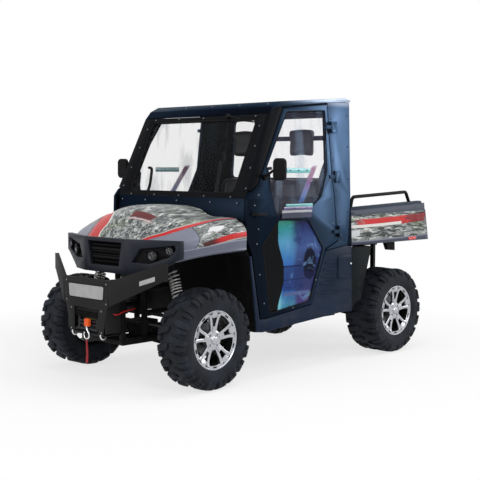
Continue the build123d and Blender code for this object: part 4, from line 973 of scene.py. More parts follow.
def lug(width, start, stop, slant, breadth, height):
    """One tread lug: a tapered block section carried along its path round the tyre."""
    steps = 9
    angle, radius, across = lug_path(width, start, stop, slant, steps)
    d_r, d_y = np.gradient(radius), np.gradient(across)
    size = np.hypot(d_r, d_y)
    out_r, out_y = d_y / size, -d_r / size
    section = np.array([(-0.62, -0.35), (-0.5, 0.75), (-0.4, 1.0), (0.4, 1.0), (0.5, 0.75), (0.62, -0.35)])
    ends = np.minimum(1.0, np.minimum(np.arange(steps), np.arange(steps)[::-1]) * 0.8 + 0.62)[:, None]
    lift = height * section[None, :, 1] * np.where(section[None, :, 1] > 0, ends, 1)
    r = radius[:, None] + out_r[:, None] * lift
    y = across[:, None] + out_y[:, None] * lift
    r = np.minimum(r, tyre_radius - 0.0004)
    a = angle[:, None] + section[None, :, 0] * breadth * ends / 0.31
    return np.stack([r * np.sin(a), y, r * np.cos(a)], -1)


def tyre(axle, hand):
    """A tyre: its section turned about the axle, with long and short slanted lugs on each shoulder."""
    width = tyre_width[axle]
    section = carcass_profile(width)
    a = np.linspace(0, 2 * pi, 120, endpoint=False)[:, None]
    r, y = section[:, 0][None], section[:, 1][None]
    form = Form().grid(np.stack([r * np.sin(a), y + 0 * a, r * np.cos(a)], -1), wrap_u=True, wrap_v=True)
    count = 18
    rows = (
        # start and end share of the half width, slant, breadth, height, phase
        (0.07, 1.15, 0.1, 0.043, 0.0168, 0.07),
        (0.62, 1.06, 0.05, 0.03, 0.016, 0.57),
    )
    for *shape, phase in rows:
        one = Form().grid(lug(width, *shape), wrap_v=True, cap=True)
        form.join(one.repeat([
            about_axle(2 * pi * (k + phase + offset) / count) @ np.diag([1, side, 1, 1])
            for side, offset in ((1, 0), (-1, 0.5)) for k in range(count)
        ]))
    return form.repeat([wheel_place(axle, hand, tyre_face - width / 2)])


# ---------------------------------------------------------------- rims
def rim(axle, hand):
    """A cast rim: a turned barrel, a lipped ring, and five split spokes carried from hub to ring."""
    bright, dark = 0, 1
    across = (0, 1, 0)
    inner = -(tyre_width[axle] - 0.036)
    lip = [
        (0.186, inner), (0.193, inner + 0.002), (0.194, inner + 0.01), (0.178, inner + 0.018),
        (0.176, inner + 0.05), (0.17, -0.1), (0.176, -0.05), (0.179, -0.022), (0.1925, -0.012),
        (0.1945, -0.006), (0.1935, 0.0),
    ]
    face = [
        (0.1935, 0.0), (0.19, 0.0005), (0.1865, -0.002), (0.185, -0.0045), (0.168, -0.0055), (0.166, -0.008),
        (0.163, -0.03), (0.166, -0.05), (0.16, -0.1), (0.168, inner + 0.05), (0.168, inner + 0.02),
        (0.18, inner + 0.003), (0.186, inner),
    ]
    form = Form()
    for profile, paint in ((resample(lip, 44), dark), (face[:6], bright), (resample(face[5:], 30), dark)):
        form.turned(profile, axis=across, sides=96, paint=paint)
    hub = [
        (0.0, -0.012), (0.028, -0.012), (0.03, -0.014), (0.044, -0.015), (0.06, -0.016), (0.066, -0.02),
        (0.068, -0.034), (0.06, -0.06), (0.02, -0.062),
    ]
    form.turned(hub, axis=across, sides=64, paint=bright)
    cap = [(0.0, 0.0005), (0.012, 0.0), (0.022, -0.003), (0.0262, -0.008), (0.027, -0.016)]
    form.turned(cap, axis=across, sides=40, paint=bright)
    t = np.linspace(0, 1, 16)
    hub_edge, ring_edge = 0.052, 0.172
    leg = Form()
    section = rounded_bar(0.021, 0.021, 0.0035, 3)
    for side in (1, -1):
        spread = side * (0.013 + 0.019 * t**0.8 + 0.016 * t**4)
        path = np.stack([spread, -0.017 + 0.013 * t**1.6 - 0.01, hub_edge + (ring_edge - hub_edge) * t], -1)
        leg.bar(path, section, across)
        flare = sweep(path[10:], section, across, np.linspace(0.98, 1.28, 6))
        leg.grid(flare - np.array([0, 0.0015, 0]), wrap_v=True, cap=True)
    web = [(0.0, -0.022, 0.05), (0.0, -0.021, 0.075), (0.0, -0.019, 0.092)]
    leg.bar(web, rounded_bar(0.03, 0.018, 0.003, 3), across)
    tip = [(0.0, -0.017, 0.148), (0.0, -0.0145, 0.16), (0.0, -0.013, 0.172)]
    leg.bar(tip, rounded_bar(0.052, 0.016, 0.003, 3), across, (0.8, 1.0, 1.25))
    form.join(leg.repeat([about_axle(2 * pi * k / 5) for k in range(5)]))
    pocket = Form().block((0, -0.0046, 0.1765), (0.03, 0.003, 0.0095), 0.25, (8, 16), paint=dark)
    form.join(pocket.repeat([about_axle(2 * pi * (k + 0.5) / 15) for k in range(15)]))
    well = [(0.0, -0.0162), (0.0095, -0.0162), (0.01, -0.015), (0.0105, -0.0162)]
    nut = [(0.0, -0.006), (0.0062, -0.006), (0.008, -0.009), (0.0084, -0.017)]
    out = np.array(Matrix.Translation((0, 0, 0.045)))
    spots = [about_axle(2 * pi * (k + 0.5) / 4) @ out for k in range(4)]
    form.join(Form().turned(well, axis=across, sides=20, paint=dark).repeat(spots))
    form.join(Form().turned(nut, axis=across, sides=6, paint=bright).repeat(spots))
    valve = [(0.0, 0.01), (0.0032, 0.01), (0.0036, 0.002), (0.0044, 0.001), (0.0044, -0.012)]
    form.turned(valve, (0.152, -0.016, 0), across, 12, dark)
    return form.repeat([wheel_place(axle, hand, rim_face)])


disc_line = [(0.046, 0.004), (0.108, 0.004), (0.11, 0.0), (0.108, -0.004), (0.046, -0.004)]
for axle, x in axle_x.items():
    for side, hand in both_sides:
        body = f"wheel_{axle}_{side}"
        carrier = f"knuckle_{side}" if axle == "front" else "chassis"
        tyre(axle, hand).put(f"mud_tyre_{axle}_{side}", m_rubber, 40, body, "tyre", f"tyre_{axle}_{side}")
        alloy = rim(axle, hand).build(f"split_spoke_rim_{axle}_{side}", [m_rim, m_pocket], 32)
        settle(alloy, body, "rim", f"rim_{axle}_{side}")
        disc = Form().turned(disc_line, (x, hand * 0.65, tyre_radius), (0, hand, 0), 64, loop=True)
        disc.put(f"brake_disc_{axle}_{side}", m_steel, 35, body, "cast_metal")
        jaw = Form().block((x - 0.085, hand * 0.648, tyre_radius + 0.045), (0.05, 0.034, 0.085), 0.35)
        jaw.put(f"brake_caliper_{axle}_{side}", m_cast, 35, carrier, "cast_metal")


# ---------------------------------------------------------------- coil springs over their dampers
def spring(top, foot, turns, radius):
    """A coil's path: its centre runs up the damper while its radius turns, its pitch closing at both ends."""
    axis = top - foot
    length = np.linalg.norm(axis)
    t = np.linspace(0, 1, int(turns * 22))
    rise = t + 0.035 * np.sin(2 * pi * t)
    a = 2 * pi * turns * t
    local = np.stack([radius * np.cos(a), radius * np.sin(a), 0.205 * length + rise * 0.61 * length], -1)
    m = frames(foot, axis)
    return local @ m[:3, :3].T + m[:3, 3]


def damper(top, foot):
    """A damper: its body and rod turned about its line, with a bush across each end."""
    line = [
        (0.0, 0.02), (0.015, 0.02), (0.017, 0.04), (0.017, 0.165), (0.037, 0.17), (0.039, 0.175), (0.039, 0.19),
        (0.026, 0.2), (0.021, 0.205), (0.021, 0.42), (0.0185, 0.43), (0.0185, 0.44), (0.008, 0.445),
        (0.008, 0.74), (0.018, 0.745), (0.02, 0.8), (0.03, 0.815), (0.039, 0.83), (0.039, 0.85), (0.017, 0.86),
        (0.015, 0.9), (0.015, 0.97), (0.0, 0.975),
    ]
    bush = [(0.0, -0.0185), (0.013, -0.0185), (0.0155, -0.016), (0.0155, 0.016), (0.013, 0.0185), (0.0, 0.0185)]
    form = Form().turned(np.array(line) * (1, np.linalg.norm(top - foot)), foot, top - foot, 28)
    return form.turned(bush, top, (1, 0, 0), 24).turned(bush, foot, (1, 0, 0), 24)


coils, dampers = Form(), Form()
shock_rows = (
    # axle, then the sideways place and height of the upper end and of the lower end
    (front_axle, (0.358, 0.806), (0.452, 0.494)),
    (rear_axle, (0.345, 0.745), (0.415, 0.494)),
)
for x, top, foot in shock_rows:
    top, foot = np.array([x + 0.045, *top]), np.array([x + 0.045, *foot])
    coils.pipe(spring(top, foot, 8.5, 0.0345), 0.006, 8, unit(top - foot))
    dampers.join(damper(top, foot))
coils.mirrored().put("coil_springs", m_spring, 60, "chassis", "spring_silver", "shock_absorbers")
dampers.mirrored().put("damper_bodies", m_dark_steel, 35, "chassis", "frame_black")


# ---------------------------------------------------------------- hood and front fenders
mm = 0.001
hood_x = (674, 867, 1097, 1287)
hood_half = [
    [(606, 1094), (480, 1098), (345, 1101), (262, 1142), (130, 1164), (0, 1167)],
    [(566, 1080), (450, 1092), (330, 1106), (235, 1148), (110, 1170), (0, 1174)],
    [(420, 1010), (340, 1058), (250, 1092), (170, 1124), (80, 1142), (0, 1145)],
    [(292, 936), (235, 942), (170, 948), (110, 952), (50, 954), (0, 955)],
]
fender_half = [
    [(606, 1094), (672, 1062), (700, 1016), (698, 912)],
    [(566, 1080), (655, 1052), (698, 1006), (698, 908)],
    [(420, 1010), (560, 1000), (652, 966), (656, 892)],
    [(292, 936), (430, 940), (520, 930), (540, 850)],
]
hood_back, hood_front, arch_back = 0.674, 1.287, 0.686


def section_grid(table, stations, along_steps, across_steps):
    """Half sections at a few stations, filled in both ways with smooth cubics: [along, across, xyz]."""
    rows = np.array(table, float) * mm
    rows = resample(rows, along_steps)
    x = resample(np.array(stations, float)[:, None] * mm, along_steps)
    fine = np.stack([resample(row, across_steps) for row in rows])
    return np.concatenate([np.broadcast_to(x[:, None], fine[..., :1].shape), fine], -1)


def nose_x(y):
    """The fascia's back, which the hood and fenders run up to: flat in the middle, swept at its sides."""
    flat, half = 1.32, 0.215
    swept = flat - (np.abs(y) - half) * (0.14 / 0.377)
    return np.where(np.abs(y) < half, flat, swept) - 0.034


hood_steps, half_steps = 46, 30
half = section_grid(hood_half, hood_x, hood_steps, half_steps)
ridge = 0.004 * np.exp(-(((np.linspace(0, 1, half_steps)[None] - 0.4) / 0.05) ** 2))
half[..., 2] += ridge * np.linspace(1, 0, hood_steps)[:, None]
share = (half[..., 0] - hood_back) / (hood_front - hood_back)
front = np.minimum(nose_x(half[-1, :, 1]) - 0.012, hood_front)
half[..., 0] = hood_back + share * (front[None] - hood_back)
other = half[:, ::-1] * (1, -1, 1)
hood = Form().shell(np.concatenate([half, other[:, 1:]], 1)[:, ::-1], -0.01)
for y in (0.16, -0.16):
    hood.bar([(1.262, y, 0.95), (1.27, y, 0.958), (1.279, y, 0.966)], rounded_bar(0.038, 0.008, 0.002, 3))
    barrel = [(0.0026, -0.02), (0.005, -0.019), (0.005, 0.019), (0.0026, 0.02)]
    hood.turned(barrel, (1.2795, y, 0.966), (0, 1, 0), 20, loop=True)
hood.put("hood_skin", m_hood, 40, "hood", "camo", "hood")

arch = section_grid(fender_half, hood_x, hood_steps, 26)
lip = [arch[:, -1:] + np.array(step) for step in ((0, 0.004, -0.008), (0, -0.006, -0.014), (0, -0.03, -0.01))]
arch = np.concatenate([arch, *lip], 1)
arch[..., 0] = np.maximum(arch[..., 0], arch_back)
arch[..., 1] = np.minimum(arch[..., 1], 0.706)
share = (arch[..., 0] - arch_back) / (hood_front - arch_back)
arch[..., 0] = arch_back + share * (nose_x(arch[-1, :, 1])[None] - arch_back)
arch[:, 0, 1:] += (0.007, -0.002)
fenders = Form().shell(arch, -0.008).mirrored()
fenders.put("fender_skins", m_fender, 42, "chassis", "fender_grey", "front_fenders")


# ---------------------------------------------------------------- grille and lamps of the nose
def honeycomb(half_low, half_high, low, high, x, cell=0.021):
    """A grille: hexagonal rings in staggered rows, kept where they lie inside its tapered opening."""
    rows, columns = int((high - low) / (cell * 0.8)) + 1, int(half_high * 2 / cell) + 2
    i, j = np.meshgrid(np.arange(rows), np.arange(columns), indexing="ij")
    z = low + (i + 0.5) * cell * 0.8
    y = (j - columns / 2 + 0.5 * (i % 2)) * cell
    limit = half_low + (half_high - half_low) * (z - low) / (high - low) - cell * 0.5
    keep = (np.abs(y) < limit) & (z < high - cell * 0.4)
    ring = [(0.0098, 0.0), (0.0098, 0.006), (0.0082, 0.0075), (0.0082, -0.002)]
    one = Form().turned(ring, axis=(1, 0, 0), sides=6, loop=True)
    moves = np.tile(np.eye(4), (int(keep.sum()), 1, 1))
    moves[:, 0, 3], moves[:, 1, 3], moves[:, 2, 3] = x, y[keep], z[keep]
    return one.repeat(moves)


mesh = honeycomb(0.15, 0.178, 0.79, 0.946, 1.2955)
for z in (0.842, 0.894):
    bar = [(1.302, -0.166, z), (1.304, 0.0, z), (1.302, 0.166, z)]
    mesh.bar(resample(bar, 9), rounded_bar(0.011, 0.014, 0.003, 3))
mesh.put("grille_mesh", m_black, 30)

slope = unit(np.array([0.377, 0.14, 0.0]))
# each profile's points: share of the lamp's radius, height
lamp_bowl = [
    (0.0, 0.004), (0.3, 0.006), (0.62, 0.012), (0.88, 0.02), (0.97, 0.0235), (1.0, 0.0235), (1.02, 0.02),
    (1.02, 0.002),
]
lamp_bulb = [(0.0, 0.0155), (0.3, 0.0155), (0.34, 0.013), (0.36, 0.005)]
lamp_ring = [(0.97, 0.0225), (1.03, 0.026), (1.12, 0.026), (1.16, 0.021), (1.16, 0.004)]
lamp_lens = [(0.0, 0.0285), (0.4, 0.0275), (0.75, 0.0255), (0.99, 0.0225)]
lamp_lines = (
    # name, finish, crease, slot, profiles
    ("lamp_bowls", m_bowl, 40, "lamp", (lamp_bowl, lamp_bulb)),
    ("lamp_rings", m_black, 40, "lamp", (lamp_ring,)),
    ("lamp_lenses", m_lamp_lens, 60, "glass_clear", (lamp_lens,)),
)
for name, finish, crease, slot, profiles in lamp_lines:
    form = Form()
    for y, z, radius in ((0.396, 0.871, 0.031), (0.512, 0.905, 0.026)):
        for profile, sides in zip(profiles, (40, 24)):
            place = (float(nose_x(np.array(y))) + 0.01, y, z)
            form.turned(np.array(profile) * (radius, 1), place, slope, sides)
    form.mirrored().put(name, finish, crease, "chassis", slot)


# ---------------------------------------------------------------- bumper plates, winch line and tow hook
def plate(corners, radius, thickness, normal):
    """A flat plate with rounded corners: rings from its edge to its middle, closed with a thickness."""
    edge = loop_path(corners, radius, 5)
    middle = edge.mean(0)
    n = unit(np.asarray(normal, float)) * thickness
    shares = np.array([1.0, 0.995, 0.98])[:, None, None]
    top = middle + (edge[None] - middle) * shares + n
    top[0] -= n * 0.35
    return np.concatenate([edge[None], top])


bumper_front = 1.475
corners = [
    (bumper_front + 0.0006, y, z) for y, z in ((-0.18, 0.58), (0.18, 0.58), (0.188, 0.67), (-0.188, 0.67))
]
name_plate = Form().slab(corners, 0.016, -0.0016, (-1, 0, 0))
name_plate.put("blank_name_plate", m_brushed, 30, "chassis", "bumper_black")
border = Form().hoop(loop_path(corners, 0.016, 5), circle(0.0028, 8), (1, 0, 0))
border.put("name_plate_edge", m_black, 60, "chassis", "bumper_black")
bumper_bolts = [((bumper_front, y, z), (1, 0, 0)) for y in (-0.21, 0.21) for z in (0.556, 0.686)]
bumper_bolts += [((bumper_front, y, z), (1, 0, 0)) for y in (-0.16, 0.16) for z in (0.365, 0.505)]
bolts("bumper_bolts", "chassis", m_steel, "bumper_black", bumper_bolts, 0.007, 0.0045)
mouth = honeycomb(0.124, 0.124, 0.452, 0.515, bumper_front - 0.01, 0.017)
mouth.put("mouth_mesh", m_bumper, 30, "chassis", "bumper_black")

# a blank strip on the left wing
wing_out = unit(np.array([0.35, 0.186, 0.0]))
ends = np.array([(1.38, 0.4288, 0.701), (1.33, 0.5229, 0.736)])
strip = [ends[end] + (0, 0, rise) for end, rise in ((0, -0.015), (1, -0.015), (1, 0.015), (0, 0.015))]
strip = Form().slab([p + wing_out * 0.0008 for p in strip], 0.004, 0.0016, wing_out)
strip.put("blank_wing_strip", m_brushed, 30, "chassis", "bumper_black")

drum_x, drum_z, coil_radius = bumper_front - 0.079, 0.432, 0.034
turns = 9
t = np.linspace(0, 1, 24 * turns)
around = 2 * pi * turns * t
drum = (drum_x + coil_radius * np.cos(around), -0.052 + 0.104 * t, drum_z + coil_radius * np.sin(around))
rope = Form().pipe(np.stack(drum, -1), 0.0056, 8, (0, 1, 0))
lead = [(0, 0.02, 0.466), (0.028, 0.02, 0.445), (0.054, 0.016, 0.424), (0.066, 0.013, 0.419)]
lead = np.array(lead) + (drum_x, 0, 0)
rope.pipe(resample(lead, 30), 0.0042, 10, (0, 1, 0))
rope.put("rope_on_drum", m_rope, 60, "chassis", "frame_black")
guard = Form().block((1.4742, 0.012, 0.419), (0.0252, 0.047, 0.053), 0.3)
guard.put("rope_stopper", m_orange, 40, "chassis", "bumper_black", "tow_hook")

# a hook on the line's end, its bend most of a circle, and a red strap to pull it by
hook_x, hook_z, hook_radius = 1.4812, 0.338, 0.027
around = np.linspace(0.95, -3.9, 24)
bend = (0 * around + hook_x, 0.012 + hook_radius * np.cos(around), hook_z + hook_radius * np.sin(around))
bend = np.concatenate([[(hook_x, 0.012, 0.394), (hook_x, 0.014, 0.378)], np.stack(bend, -1)])
hook = Form().bar(resample(bend, 70), circle(0.0054, 12), (1, 0, 0), np.linspace(1.05, 0.75, 70))
hook.put("rope_hook", m_chrome, 60, "chassis", "spring_silver")
strap = Form()
line = [
    (1.48, 0.01, 0.314), (1.48, 0.013, 0.27), (1.4798, 0.016, 0.22), (1.4795, 0.014, 0.18), (1.479, 0.01, 0.15),
]
line = resample(line, 40)
band_section = rounded_bar(0.023, 0.0022, 0.0009, 3)
for shift in (0.0018, -0.0018):
    strap.bar(line + np.array([shift, 0, 0]), band_section, (1, 0, 0), np.linspace(0.6, 1.0, 40))
strap.put("pull_strap", m_red_strap, 60, "chassis", "tail_red")

# tow loops and shackle ends below the plate
loops = Form()
for y in (0.15, -0.15):
    loops.pipe(arc((bumper_front - 0.024, y, 0.343), 0.022, -200, 20, 22), 0.0065, 10, (0, 1, 0))
loops.put("tow_loops", m_chrome, 60, "chassis", "spring_silver")


# ---------------------------------------------------------------- cab trim
def on_side(x, z, lift=0.0, hand=1):
    """A point on the cab's side, lifted off it by a small distance."""
    n = lean(z)
    p = np.array([x, float(side_y(z)), z]) + n * lift
    return p * (1, hand, 1)


def side_bolts(rows, hand, lift=0.0):
    """Bolt places on one side of the cab, with the side's outward direction."""
    return [(on_side(x, z, lift, hand), lean(z) * (1, hand, 1)) for x, z in rows]


door_bolts = [
    (-0.205, 1.7), (-0.205, 1.55), (-0.205, 1.36), (-0.215, 1.2), (-0.235, 1.04), (0.1, 1.118), (0.3, 1.103),
    (0.56, 1.26), (0.6, 1.19), (0.56, 1.03), (0.575, 0.93), (0.545, 0.72), (0.5, 0.52), (0.2, 0.462),
    (-0.05, 0.64),
]
quarter_bolts = [
    (-0.262, 1.8), (-0.262, 1.5), (-0.275, 1.28), (-0.31, 1.05), (-0.335, 0.93), (-0.455, 1.83), (-0.44, 1.6),
    (-0.425, 1.36), (-0.41, 1.12), (-0.395, 0.95),
]
cab_slot = "cab_blue_black"
for side, hand in both_sides:
    places = side_bolts(door_bolts, hand)
    bolts(f"door_bolts_{side}", f"door_{side}", m_steel, cab_slot, places, 0.0058, 0.0028)
    places = side_bolts(quarter_bolts, hand)
    bolts(f"quarter_bolts_{side}", "chassis", m_dark_steel, cab_slot, places, 0.0062, 0.003)

foot, head = np.array([0.655, 0, 1.235]), np.array([0.399, 0, 1.81])
screen_up = unit(head - foot)
screen_out = np.array([screen_up[2], 0, -screen_up[0]])


def on_screen(y, share, lift=0.0):
    """A point on the windscreen frame's face, from its foot (0) to its head (1)."""
    p = foot + (head - foot) * share + screen_out * lift
    p[1] = y
    return p


screen_rows = [(y, share) for share in (0.018, 0.982) for y in (-0.52, -0.26, 0.0, 0.26, 0.52)]
post_rows = ((0.12, 0.64), (0.36, 0.622), (0.62, 0.602), (0.86, 0.584))
screen_rows += [(hand * y, share) for hand in (1, -1) for share, y in post_rows]
cowl_rows = (
    (-0.6, 1.205), (-0.34, 1.205), (0.0, 1.208), (0.34, 1.205), (0.6, 1.205), (-0.62, 1.08), (0.62, 1.08),
)
visor = unit(np.array([0.037, 0, 0.079]))
for name, places, radius, height in (
    ("screen_bolts", [(on_screen(y, s), screen_out) for y, s in screen_rows], 0.0058, 0.003),
    ("cowl_bolts", [((0.6685, y, z), (1, 0, 0.07)) for y, z in cowl_rows], 0.0058, 0.0028),
    ("visor_bolts", [((0.314, y, 1.886), visor) for y in (-0.55, -0.28, 0.0, 0.28, 0.55)], 0.006, 0.003),
):
    bolts(name, "chassis", m_steel, cab_slot, places, radius, height)

seal_bead, thin_bead = rounded_bar(0.012, 0.009, 0.003, 3), rounded_bar(0.008, 0.006, 0.002, 3)
seals = {"chassis": Form(), "door_left": Form(), "door_right": Form()}
rise, w = 0.278 / 0.6294, 0.54
corners = [on_screen(y, 0.502 + s, -0.003) for y, s in ((-w, -rise), (w, -rise), (w, rise), (-w, rise))]
seals["chassis"].hoop(loop_path(corners, 0.05, 8), seal_bead, screen_out)
rear_lean = (-0.49 - wall_x) / (1.928 - wall_z)
back = ((-0.536, 1.36), (0.536, 1.36), (0.536, 1.83), (-0.536, 1.83))
back = [(wall_x + rear_lean * (z - wall_z) + 0.001, y, z) for y, z in back]
seals["chassis"].hoop(loop_path(back, 0.045, 8), seal_bead, (-1, 0, rear_lean))
upper_window = [
    (0.219, 1.834), (-0.2, 1.858), (-0.183, 1.429), (-0.096, 1.236), (0.029, 1.153), (0.386, 1.121),
    (0.441, 1.306), (0.434, 1.394), (0.464, 1.449),
]
lower_window = [(0.354, 1.085), (0.039, 1.075), (-0.126, 0.866), (0.02, 0.494), (0.44, 0.446), (0.522, 0.918)]
for side, hand in both_sides:
    for outline in (upper_window, lower_window):
        ring = np.array([on_side(x, z, -0.001, hand) for x, z in outline])
        seals[f"door_{side}"].hoop(loop_path(ring, 0.014, 4), thin_bead, (0, hand, 0.03))
for body, form in seals.items():
    form.put(f"window_seals_{body}", m_seal, 50, body, "black_plastic")

# bright rails across the door panes, a lock, a pull handle and a grab rail inside
for side, hand in both_sides:
    body = f"door_{side}"
    rail_rows = (
        # ends along the door, middle height, depth, finish
        (0.015, 0.261, 1.425, 0.036, m_pane_rail), (0.003, 0.288, 1.183, 0.02, m_pane_rail),
        (0.003, 0.31, 1.162, 0.022, m_violet_rail), (0.012, 0.33, 1.122, 0.056, m_slate_rail),
    )
    for number, (x0, x1, z, deep, finish) in enumerate(rail_rows):
        line = [on_side(x, z, 0.004, hand) for x in np.linspace(x0, x1, 5)]
        rail = Form().bar(line, rounded_bar(0.006, deep, 0.002, 3))
        rail.put(f"pane_rail_{number}_{side}", finish, 40, body, "glass_clear")
    spots = ((0.05, 1.425), (0.14, 1.425), (0.23, 1.425), (0.07, 1.163), (0.2, 1.163))
    spots = side_bolts(spots, hand, 0.0072)
    bolts(f"rail_bolts_{side}", body, m_dark_steel, "spring_silver", spots, 0.006, 0.0035)
    place = on_side(0.575, 1.126, 0.001, hand)
    barrel = [(0.0, 0.009), (0.011, 0.009), (0.0125, 0.0075), (0.014, 0.006), (0.014, -0.004)]
    latch = Form().turned(barrel, place, (0, hand, 0), 28)
    latch.block(place + np.array([0, hand * 0.01, 0]), (0.004, 0.004, 0.016), 0.4)
    latch.put(f"door_lock_{side}", m_chrome, 40, body, "spring_silver")
    grip = (
        (0.5, 1.126, -0.002), (0.512, 1.127, 0.022), (0.56, 1.13, 0.03), (0.61, 1.132, 0.03),
        (0.64, 1.132, 0.012),
    )
    grip = [on_side(*row, hand) for row in grip]
    pull = Form().bar(resample(grip, 24), rounded_bar(0.009, 0.02, 0.003, 3))
    pull.put(f"door_pull_{side}", m_black, 40, body, "black_plastic")
    bar = [
        (0.43, 0.655, 1.24), (0.415, 0.615, 1.25), (0.4, 0.6, 1.3), (0.385, 0.598, 1.38), (0.375, 0.605, 1.43),
        (0.372, 0.64, 1.44),
    ]
    bar = np.array(bar) * (1, hand, 1)
    rail = Form().pipe(resample(bar, 40), 0.011, 12, (0, 1, 0))
    rail.put(f"grab_rail_{side}", m_black, 60, body, "black_plastic")

pivot = [(0.0, 0.024), (0.012, 0.024), (0.016, 0.02), (0.018, 0.0)]
wiper = Form().turned(pivot, on_screen(0.26, 0.985), screen_out, 24)
arm = [on_screen(*row) for row in ((0.26, 0.985, 0.02), (0.34, 0.955, 0.026), (0.42, 0.925, 0.022))]
wiper.bar(resample(arm, 14), rounded_bar(0.01, 0.005, 0.0015, 3), screen_out)
blade = [on_screen(*row) for row in ((0.3, 0.905, 0.01), (0.42, 0.918, 0.013), (0.54, 0.9, 0.01))]
wiper.bar(resample(blade, 20), rounded_bar(0.007, 0.012, 0.002, 3), screen_out)
wiper.put("screen_wiper", m_black, 45)

for side, hand in both_sides:
    corners = ((0.776, 1.368), (0.86, 1.368), (0.86, 1.498), (0.776, 1.498))
    face = Form().slab([(0.471, hand * y, z) for y, z in corners], 0.026, -0.0015, (1, 0, 0))
    face.put(f"mirror_face_{side}", m_chrome, 30, f"door_{side}", "glass_clear")


# ---------------------------------------------------------------- side panels, bed and tail
body_side_y = 0.7005
for side, hand in both_sides:
    y = hand * 0.7002
    box = [(-0.455, y, 0.624), (-0.298, y, 0.63), (-0.292, y, 0.786), (-0.459, y, 0.782)]
    lid = Form().slab(box, 0.018, 0.006, (0, hand, 0))
    lid.put(f"filler_lid_{side}", m_side, 30, "chassis", "body_plastic")
    edge = loop_path([(x, hand * 0.7062, z) for x, _, z in box], 0.022, 5)
    edge = edge.mean(0) + (edge - edge.mean(0)) * 0.9
    border = Form().hoop(edge, circle(0.003, 8), (0, 1, 0))
    border.put(f"filler_lid_edge_{side}", m_side, 60, "chassis", "body_plastic")
    knob = [(0.0, 0.01), (0.006, 0.01), (0.0075, 0.0085), (0.008, 0.0)]
    lock = Form().turned(knob, (-0.44, hand * 0.7055, 0.735), (0, hand, 0), 20)
    lock.put(f"lid_lock_{side}", m_chrome, 40, "chassis", "spring_silver")
    ribs = Form()
    louvres = (
        # height, rear end, front end
        (0.53, -0.465, -0.073), (0.605, -0.28, -0.095), (0.655, -0.28, -0.115), (0.705, -0.28, -0.135),
        (0.755, -0.28, -0.155),
    )
    for z, x0, x1 in louvres:
        line = [(x, hand * body_side_y, z + (x - x0) * 0.03) for x in np.linspace(x0, x1, 8)]
        ribs.bar(line, [(-0.0035, -0.006), (0.0035, -0.002), (0.0035, 0.002), (-0.0035, 0.006)])
    ribs.put(f"side_louvres_{side}", m_side, 30, "chassis", "body_plastic")


bed_foot_x, bed_foot_z = -1.476, 0.868


def tail_x(z):
    """The bed's slanted tail at a height."""
    return bed_foot_x + 0.047 * (z - bed_foot_z) / 0.239


def on_tail(y, z, lift=0.0):
    """A point behind the bed's tail or the tailgate's face by a small distance."""
    return np.array([tail_x(z) - lift, y, z])


bed_sections = (
    # height, how far the panel stands off the bed's flat side
    (0.868, 0.0), (0.874, 0.01), (0.886, 0.014), (0.897, 0.013), (0.903, 0.006), (0.935, 0.008), (0.985, 0.01),
    (1.035, 0.01), (1.078, 0.007), (1.086, 0.003), (1.092, 0.009), (1.12, 0.006), (1.14, -0.002),
)
z, lift = resample(np.array(bed_sections), 60).T
share = np.linspace(0, 1, 60)[:, None]
front = -0.462 + 0.015 * (z - bed_foot_z) / 0.284
x = front + (tail_x(z) + 0.012 - front) * share
lift = lift * np.minimum(1.0, np.minimum(share, 1 - share) * 24 + 0.15)
lift = lift + 0.004 * np.exp(-(((share - 0.86) / 0.02) ** 2)) * (z > 0.9)
top = z + np.maximum(z - 1.1, 0) * 0.9 * (share - 0.25)
tail = Form().shell(np.stack([x, body_side_y + lift, top + 0 * x], -1), 0.003)
tail.mirrored().put("bed_side_skins", m_bed, 40, "bed", "camo")

hangers = Form()
for y in (0.6, 0.628):
    outline = [(-0.98, y, 0.874), (-1.105, y, 0.874), (-1.11, y, 0.792), (-1.02, y, 0.8)]
    hangers.slab(outline, 0.008, 0.004, (0, 1, 0))
hangers.pipe([(-1.065, y, 0.815) for y in (0.596, 0.614, 0.636)], 0.008, 12)
hangers.mirrored().put("bed_hangers", m_black, 35, "bed", "frame_black")

floor_ribs = Form()
for y in np.linspace(-0.54, 0.54, 10):
    line = [(x, y, 0.8945) for x in np.linspace(-1.44, -0.53, 6)]
    floor_ribs.bar(line, [(-0.02, 0.0), (-0.014, 0.006), (0.014, 0.006), (0.02, 0.0)])
floor_ribs.put("bed_floor_ribs", m_black, 25, "bed", "camo")

lens_form, lens_frame = Form(), Form()
for hand in (1, -1):
    outline = ((0.667, 0.95), (0.694, 0.95), (0.694, 1.052), (0.667, 1.052))
    outline = [on_tail(hand * y, z, 0.0002) for y, z in outline]
    lens_form.slab(outline, 0.008, 0.005, (-1, 0, 0.2))
    lens_frame.hoop(loop_path(outline, 0.008, 5), circle(0.0035, 8), (-1, 0, 0.2))
lens_form.put("tail_lenses", m_tail_lens, 30, "bed", "tail_red", "tail_lamps")
lens_frame.put("tail_lamp_frames", m_black, 60, "bed", "tail_red")

gate = Form()
for low, high in ((0.925, 0.975), (0.995, 1.045)):
    ring = [on_tail(y, z) for y, z in ((-0.56, low), (0.56, low), (0.56, high), (-0.56, high))]
    gate.slab(ring, 0.012, 0.004, (-1, 0, 0.2))
gate.put("tailgate_pressings", m_plastic, 30, "tailgate", "camo")
pull = ((-0.075, -0.002), (-0.066, 0.01), (0.0, 0.011), (0.066, 0.01), (0.075, -0.002))
pull = [on_tail(y, 1.072, lift) for y, lift in pull]
handle = Form().bar(resample(pull, 30), rounded_bar(0.008, 0.02, 0.003, 3))
handle.put("tailgate_handle", m_black, 45, "tailgate", "black_plastic")

